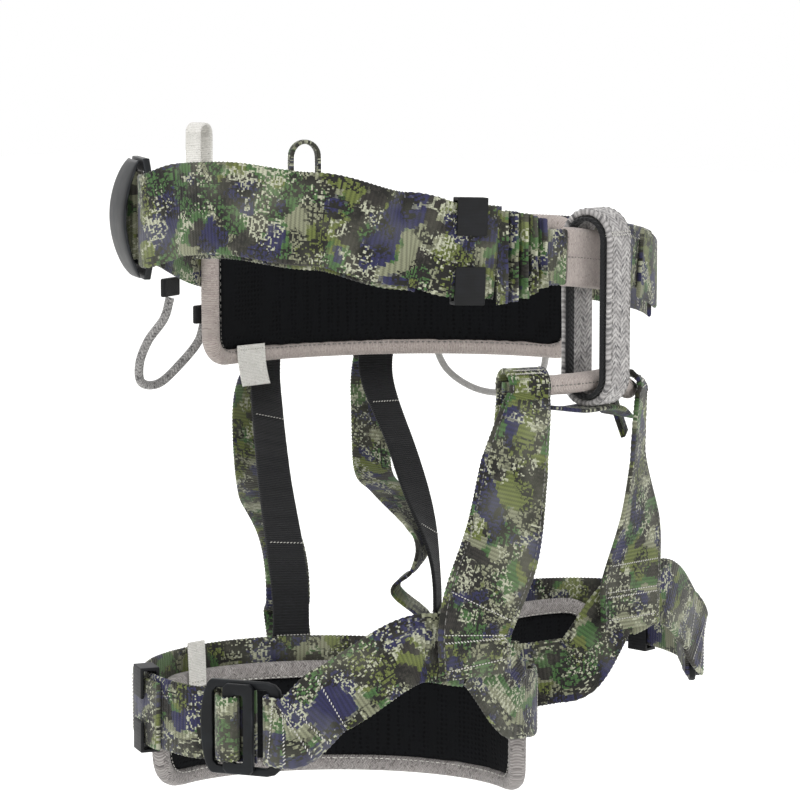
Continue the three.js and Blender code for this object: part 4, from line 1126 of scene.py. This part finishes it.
def make_leg_buckle(leg, name):
    body = f"{name}_leg"
    p = leg_at(leg, LEG_BUCKLE_ANGLE, 0, leg_height(LEG_BUCKLE_ANGLE))
    out = leg_out(leg, LEG_BUCKLE_ANGLE)
    x = np.cross(UP, out)
    mesh = bmesh.new()
    loops = []
    for outline in buckle_outline(leg["side"]):
        loop = [mesh.verts.new(Vector((p + x * u + UP * v - out * 1.7) * MM)) for u, v in outline]
        loops += [mesh.edges.new((a, b)) for a, b in zip(loop, loop[1:] + loop[:1])]
    bmesh.ops.triangle_fill(mesh, use_beauty=True, use_dissolve=False, edges=loops,
                            normal=Vector(-out))
    made = bmesh.ops.extrude_face_region(mesh, geom=list(mesh.faces))
    moved = [g for g in made["geom"] if isinstance(g, bmesh.types.BMVert)]
    bmesh.ops.translate(mesh, verts=moved, vec=Vector(out * BUCKLE_PLATE * MM))
    bmesh.ops.recalc_face_normals(mesh, faces=mesh.faces)
    round_edges(mesh, 60, 1.2, 4, 0.55)
    data = bpy.data.meshes.new(f"{body}_buckle")
    mesh.to_mesh(data)
    mesh.free()
    smooth_but_sharp(data)
    place(linked(f"{body}_buckle", data), METAL, body, "black_metal", f"{body}_buckle_frame")
    slider = bevelled(f"{name}_slider_bar", f"{body}_buckle_slider", 0.8)
    place(slider, METAL, f"{name}_slider", "black_metal", f"{body}_buckle_slider")
    keeper = bevelled(f"{name}_keeper_clip", f"{body}_keeper", 0.5)
    place(keeper, PLASTIC, f"{name}_keeper", "black_plastic", f"{body}_keeper")


def make_leg_pad(leg, name):
    body = f"{name}_leg"
    offset = -PAD_FACE - 4
    half = BINDING_WIDTH / 2

    def at(a):
        return leg_at(leg, a, offset, 0), leg_out(leg, a)

    rate = [np.linalg.norm(at(a + 0.5)[0] - at(a - 0.5)[0]) for a in (188, 362)]
    shape = (184 + half / rate[0], 366 - half / rate[1], -271.5 + half, -216.5 - half,
             23 - half, 8)
    make_binding(f"{body}_pad_edge", f"{body}_pad_binding", body, "melange_webbing", BINDING, at,
                 shape, "pale")
    make_pad(f"{body}_pad_body", f"{body}_pad", body, (leg["x"], leg["y"], -244), 1.5)


# ---- Risers ----
RISER_BULGE = 64
RISER_TACKS = (0, 0.3, 0.74, 1)
LONGEST_LOBE = 0.44
riser_ends = {}


def riser_bow(share):
    for low, high in zip(RISER_TACKS, RISER_TACKS[1:]):
        if share <= high:
            part = (share - low) / (high - low)
            return (high - low) * math.sin(math.pi * part) ** 2
    return 0


def make_riser(leg, name, waist_angle, leg_angle, clear):
    out = waist_out(waist_angle)
    along = unit(np.cross(UP, out))
    foot_along = unit(np.cross(UP, leg_out(leg, leg_angle)))
    top = waist_at(waist_angle, 0.4, -53)
    foot = leg_at(leg, leg_angle, LAYER, -215)
    rows = [(top, along), (waist_at(waist_angle, 0.8, -73), along),
            (waist_at(waist_angle, 1.2, -95), along),
            ((top + foot) / 2 + out * 4, unit(0.6 * along + 0.4 * foot_along)),
            (leg_at(leg, leg_angle, LAYER + 1.5, -185), foot_along), (foot, foot_along)]
    shares = np.linspace(0, 1, 41)
    points = curve_through([r[0] for r in rows], shares)
    across = []
    for share in shares:
        k = min(int(share * 5), 4)
        part = share * 5 - k
        part = part * part * (3 - 2 * part)
        across.append(unit(rows[k][1] * (1 - part) + rows[k + 1][1] * part))
    across = np.array(across)
    pulled = 1 - 0.09 * np.array([riser_bow(s) for s in shares]) / LONGEST_LOBE
    elastic = Run(points, across, pulled, step=0.8)
    band = webbing(f"{name}_elastic_band", elastic, 19, rib=0.22, pitch=1.5, frayed=0.1)
    place_blended(band, ELASTIC, f"{name}_riser_elastic")
    normals = np.cross(np.gradient(points, axis=0), across)
    normals /= np.linalg.norm(normals, axis=1)[:, None]
    normals *= np.sign(normals @ out)[:, None]
    bow = np.array([LAYER + clear + RISER_BULGE * riser_bow(s) for s in shares])
    bow += np.array([1.2 * noise.noise(Vector((s * 9, waist_angle, 0))) * riser_bow(s)
                     / LONGEST_LOBE for s in shares])
    lobes = Run(points + normals * bow[:, None], across, step=0.8)
    strap = webbing(f"{name}_riser_gathered", lobes, 22, rib=0.2, frayed=0.2,
                    shift=1800 + waist_angle)
    place_blended(strap, CAMO, f"{name}_riser_webbing")
    for share in (0.035, 0.3, 0.74, 0.955):
        bar_tack(f"{name}_riser", elastic, elastic.length * share, 18, 1.45, "pale", rows=1)
    riser_ends[f"{name}_riser"] = (name, top, foot)


def place_blended(obj, material, node_name):
    obj.data.materials.clear()
    obj.data.materials.append(material)
    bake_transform(obj)
    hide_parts(node_name)


# ---- Gear loops, top loops and tags ----
GEAR_RIGHT = [(196, 5, -45.8), (197, 7, -56), (199, 14, -68), (199, 19, -80), (197, 21, -90),
              (192, 19, -92), (188, 12, -82), (186, 4, -70), (185.5, 1.6, -61.5)]
GEAR_LEFT = [(125, 1.6, -61.5), (125, 7, -76), (122, 14, -94), (115, 17, -105), (107, 17, -105),
             (100, 14, -94), (97, 7, -77), (96, 1.6, -61.5)]


def make_gear_loops():
    for name, route, diameter, material, slot in (
            ("right", GEAR_RIGHT, 4.6, CORD_MELANGE, "melange_webbing"),
            ("left", GEAR_LEFT, 3.6, CORD_SMOOTH, "grey_cord")):
        points = curve_through([waist_at(*row) for row in route], np.linspace(0, 1, 90))
        run = Run(points, carry_direction(points, (0.31, 0.57, 0.12)), step=0.6)
        loop = round_cord(f"{name}_gear_cord", run, diameter)
        place(loop, material, f"{name}_gear_loop", slot, f"gear_loop_{name}")
    for anchor in ("right_back", "right_front", "left_back", "left_front"):
        tab = bevelled(f"{anchor}_tab", f"gear_anchor_{anchor}", 1.1, 4)
        tab.data.attributes.new("lay", "FLOAT_VECTOR", "POINT").data.foreach_set(
            "vector", np.array([[(v.co.x + v.co.y) * 1000, v.co.z * 1000, 1]
                                for v in tab.data.vertices], np.float32).ravel())
        place(tab, TAPE, "waist", "black_tape", f"gear_anchor_{anchor}")


def make_top_loop(name, node_name, angle, out, half, low, high, width, thickness, material, slot):
    foot = waist_at(angle, out, low)
    face = waist_out(angle)
    along = unit(np.cross(UP, face))
    rise = high - low - half
    spots = [(half * 0.7, 0), (half * 0.9, rise * 0.3), (half, rise * 0.65)]
    spots += [(half * math.cos(math.radians(a)), rise + half * math.sin(math.radians(a)))
              for a in range(0, 181, 15)]
    spots += [(-x, z) for x, z in spots[:3][::-1]]
    points = [foot + along * x + UP * z for x, z in spots]
    run = Run(points, face, step=0.5)
    strap = webbing(name, run, width, thickness, rib=0.12, pitch=1.5, column=0.9,
                    shift=60 * half)
    place(strap, material, node_name, slot, node_name)


def make_tag(name, node_name, body, top, out, width, lean, drop):
    along = unit(np.cross(UP, out))
    points = [top + out * (-lean * t * t) - UP * drop * t for t in np.linspace(0, 1, 16)]
    across = [unit(along + UP * 0.06 * math.sin(t * 3)) for t in np.linspace(0, 1, 16)]
    run = Run(points, across, step=0.6)
    tag = webbing(name, run, width, 0.8, rib=0.03, pitch=0.9, frayed=0.03, column=1.5)
    place(tag, WHITE, body, "white_tape", node_name)
    bar_tack(body, run, 2.2, width - 3, 0.5, "pale", slant=0.1)


# ---- Build ----
make_waist_webbing()
make_front_folds()
make_tie_in_sleeve()
make_waist_hardware()
make_waist_pad()
make_belay_loop()
make_bridge()
make_link()
for leg_name, leg_shape in LEGS.items():
    make_leg_webbing(leg_shape, leg_name)
    make_leg_buckle(leg_shape, leg_name)
    make_leg_pad(leg_shape, leg_name)
    make_rise_strap(leg_shape, leg_name)
make_riser(LEGS["right"], "right", 167, 255, 0.2)
make_riser(LEGS["left"], "left", 139, 284, 2.6)
make_gear_loops()
make_top_loop("haul_tape", "haul_loop", 156, 3.9, 8, -14, 31, 5, 2.2, CAMO_SHADE,
              "camo_webbing_shade")
make_top_loop("accessory_tape", "accessory_loop", 184, 6.8, 4.6, -14, 42, 10, 1.6, WHITE,
              "white_tape")
make_tag("waist_label", "waist_tag", "waist", waist_at(176, -11.6, -73), waist_out(176), 20, 4, 21)
make_tag("leg_label", "right_leg_tag", "right_leg", leg_at(LEGS["right"], 214, -10.6, -223.5),
         leg_out(LEGS["right"], 214), 11, -1, -22)
make_threads()

# ---- Stage ----
scene = bpy.context.scene
AIM = Vector((0.00096, -0.00115, -0.093))
azimuth, elevation = math.radians(-50), math.radians(7)
back = Vector((math.sin(azimuth) * math.cos(elevation), -math.cos(azimuth) * math.cos(elevation),
               math.sin(elevation)))
camera = linked("camera", bpy.data.cameras.new("camera"))
camera.data.lens = 144
camera.data.sensor_width = 36
camera.location = AIM + back * 1.6
camera.rotation_euler = back.to_track_quat("Z", "Y").to_euler()
scene.camera = camera


def paper_material():
    """Seamless matt white paper."""
    material, tree, bsdf = new_material("white_paper")
    grain = patches(tree, object_coordinates(tree), 40, 1, 3.0)
    fill(tree, bsdf, {"Base Color": mixed(tree, grain, colour("f4f4f2"), colour("fafaf8")),
                      "Roughness": 0.9, "Emission Color": (1, 1, 1, 1),
                      "Emission Strength": 0.3})
    return material


floor_mesh = bpy.data.meshes.new("floor")
floor_mesh.from_pydata([(-6, -6, -0.34), (6, -6, -0.34), (6, 6, -0.34), (-6, 6, -0.34)], [],
                       [(0, 1, 2, 3)])
floor_mesh.materials.append(paper_material())
floor = linked("floor", floor_mesh)


def area_light(name, position, size, power, target=(0, 0, -0.09)):
    light = bpy.data.lights.new(name, "AREA")
    light.shape = "RECTANGLE"
    light.size = light.size_y = size
    light.energy = power
    obj = linked(name, light)
    obj.location = position
    obj.rotation_euler = (Vector(position) - Vector(target)).to_track_quat("Z", "Y").to_euler()
    return obj


lights = [
    area_light("key", (-1.6, -0.5, 1.5), 1.0, 17),
    area_light("fill", (0.4, -2.0, 0.5), 1.6, 4),
    area_light("rim", (0.9, 1.5, 1.1), 1.0, 7),
]
world = bpy.data.worlds.new("studio")
world.use_nodes = True
world.node_tree.nodes["Background"].inputs[0].default_value = (1, 1, 1, 1)
world.node_tree.nodes["Background"].inputs[1].default_value = 1.0
scene.world = world
scene.view_settings.view_transform = "Standard"
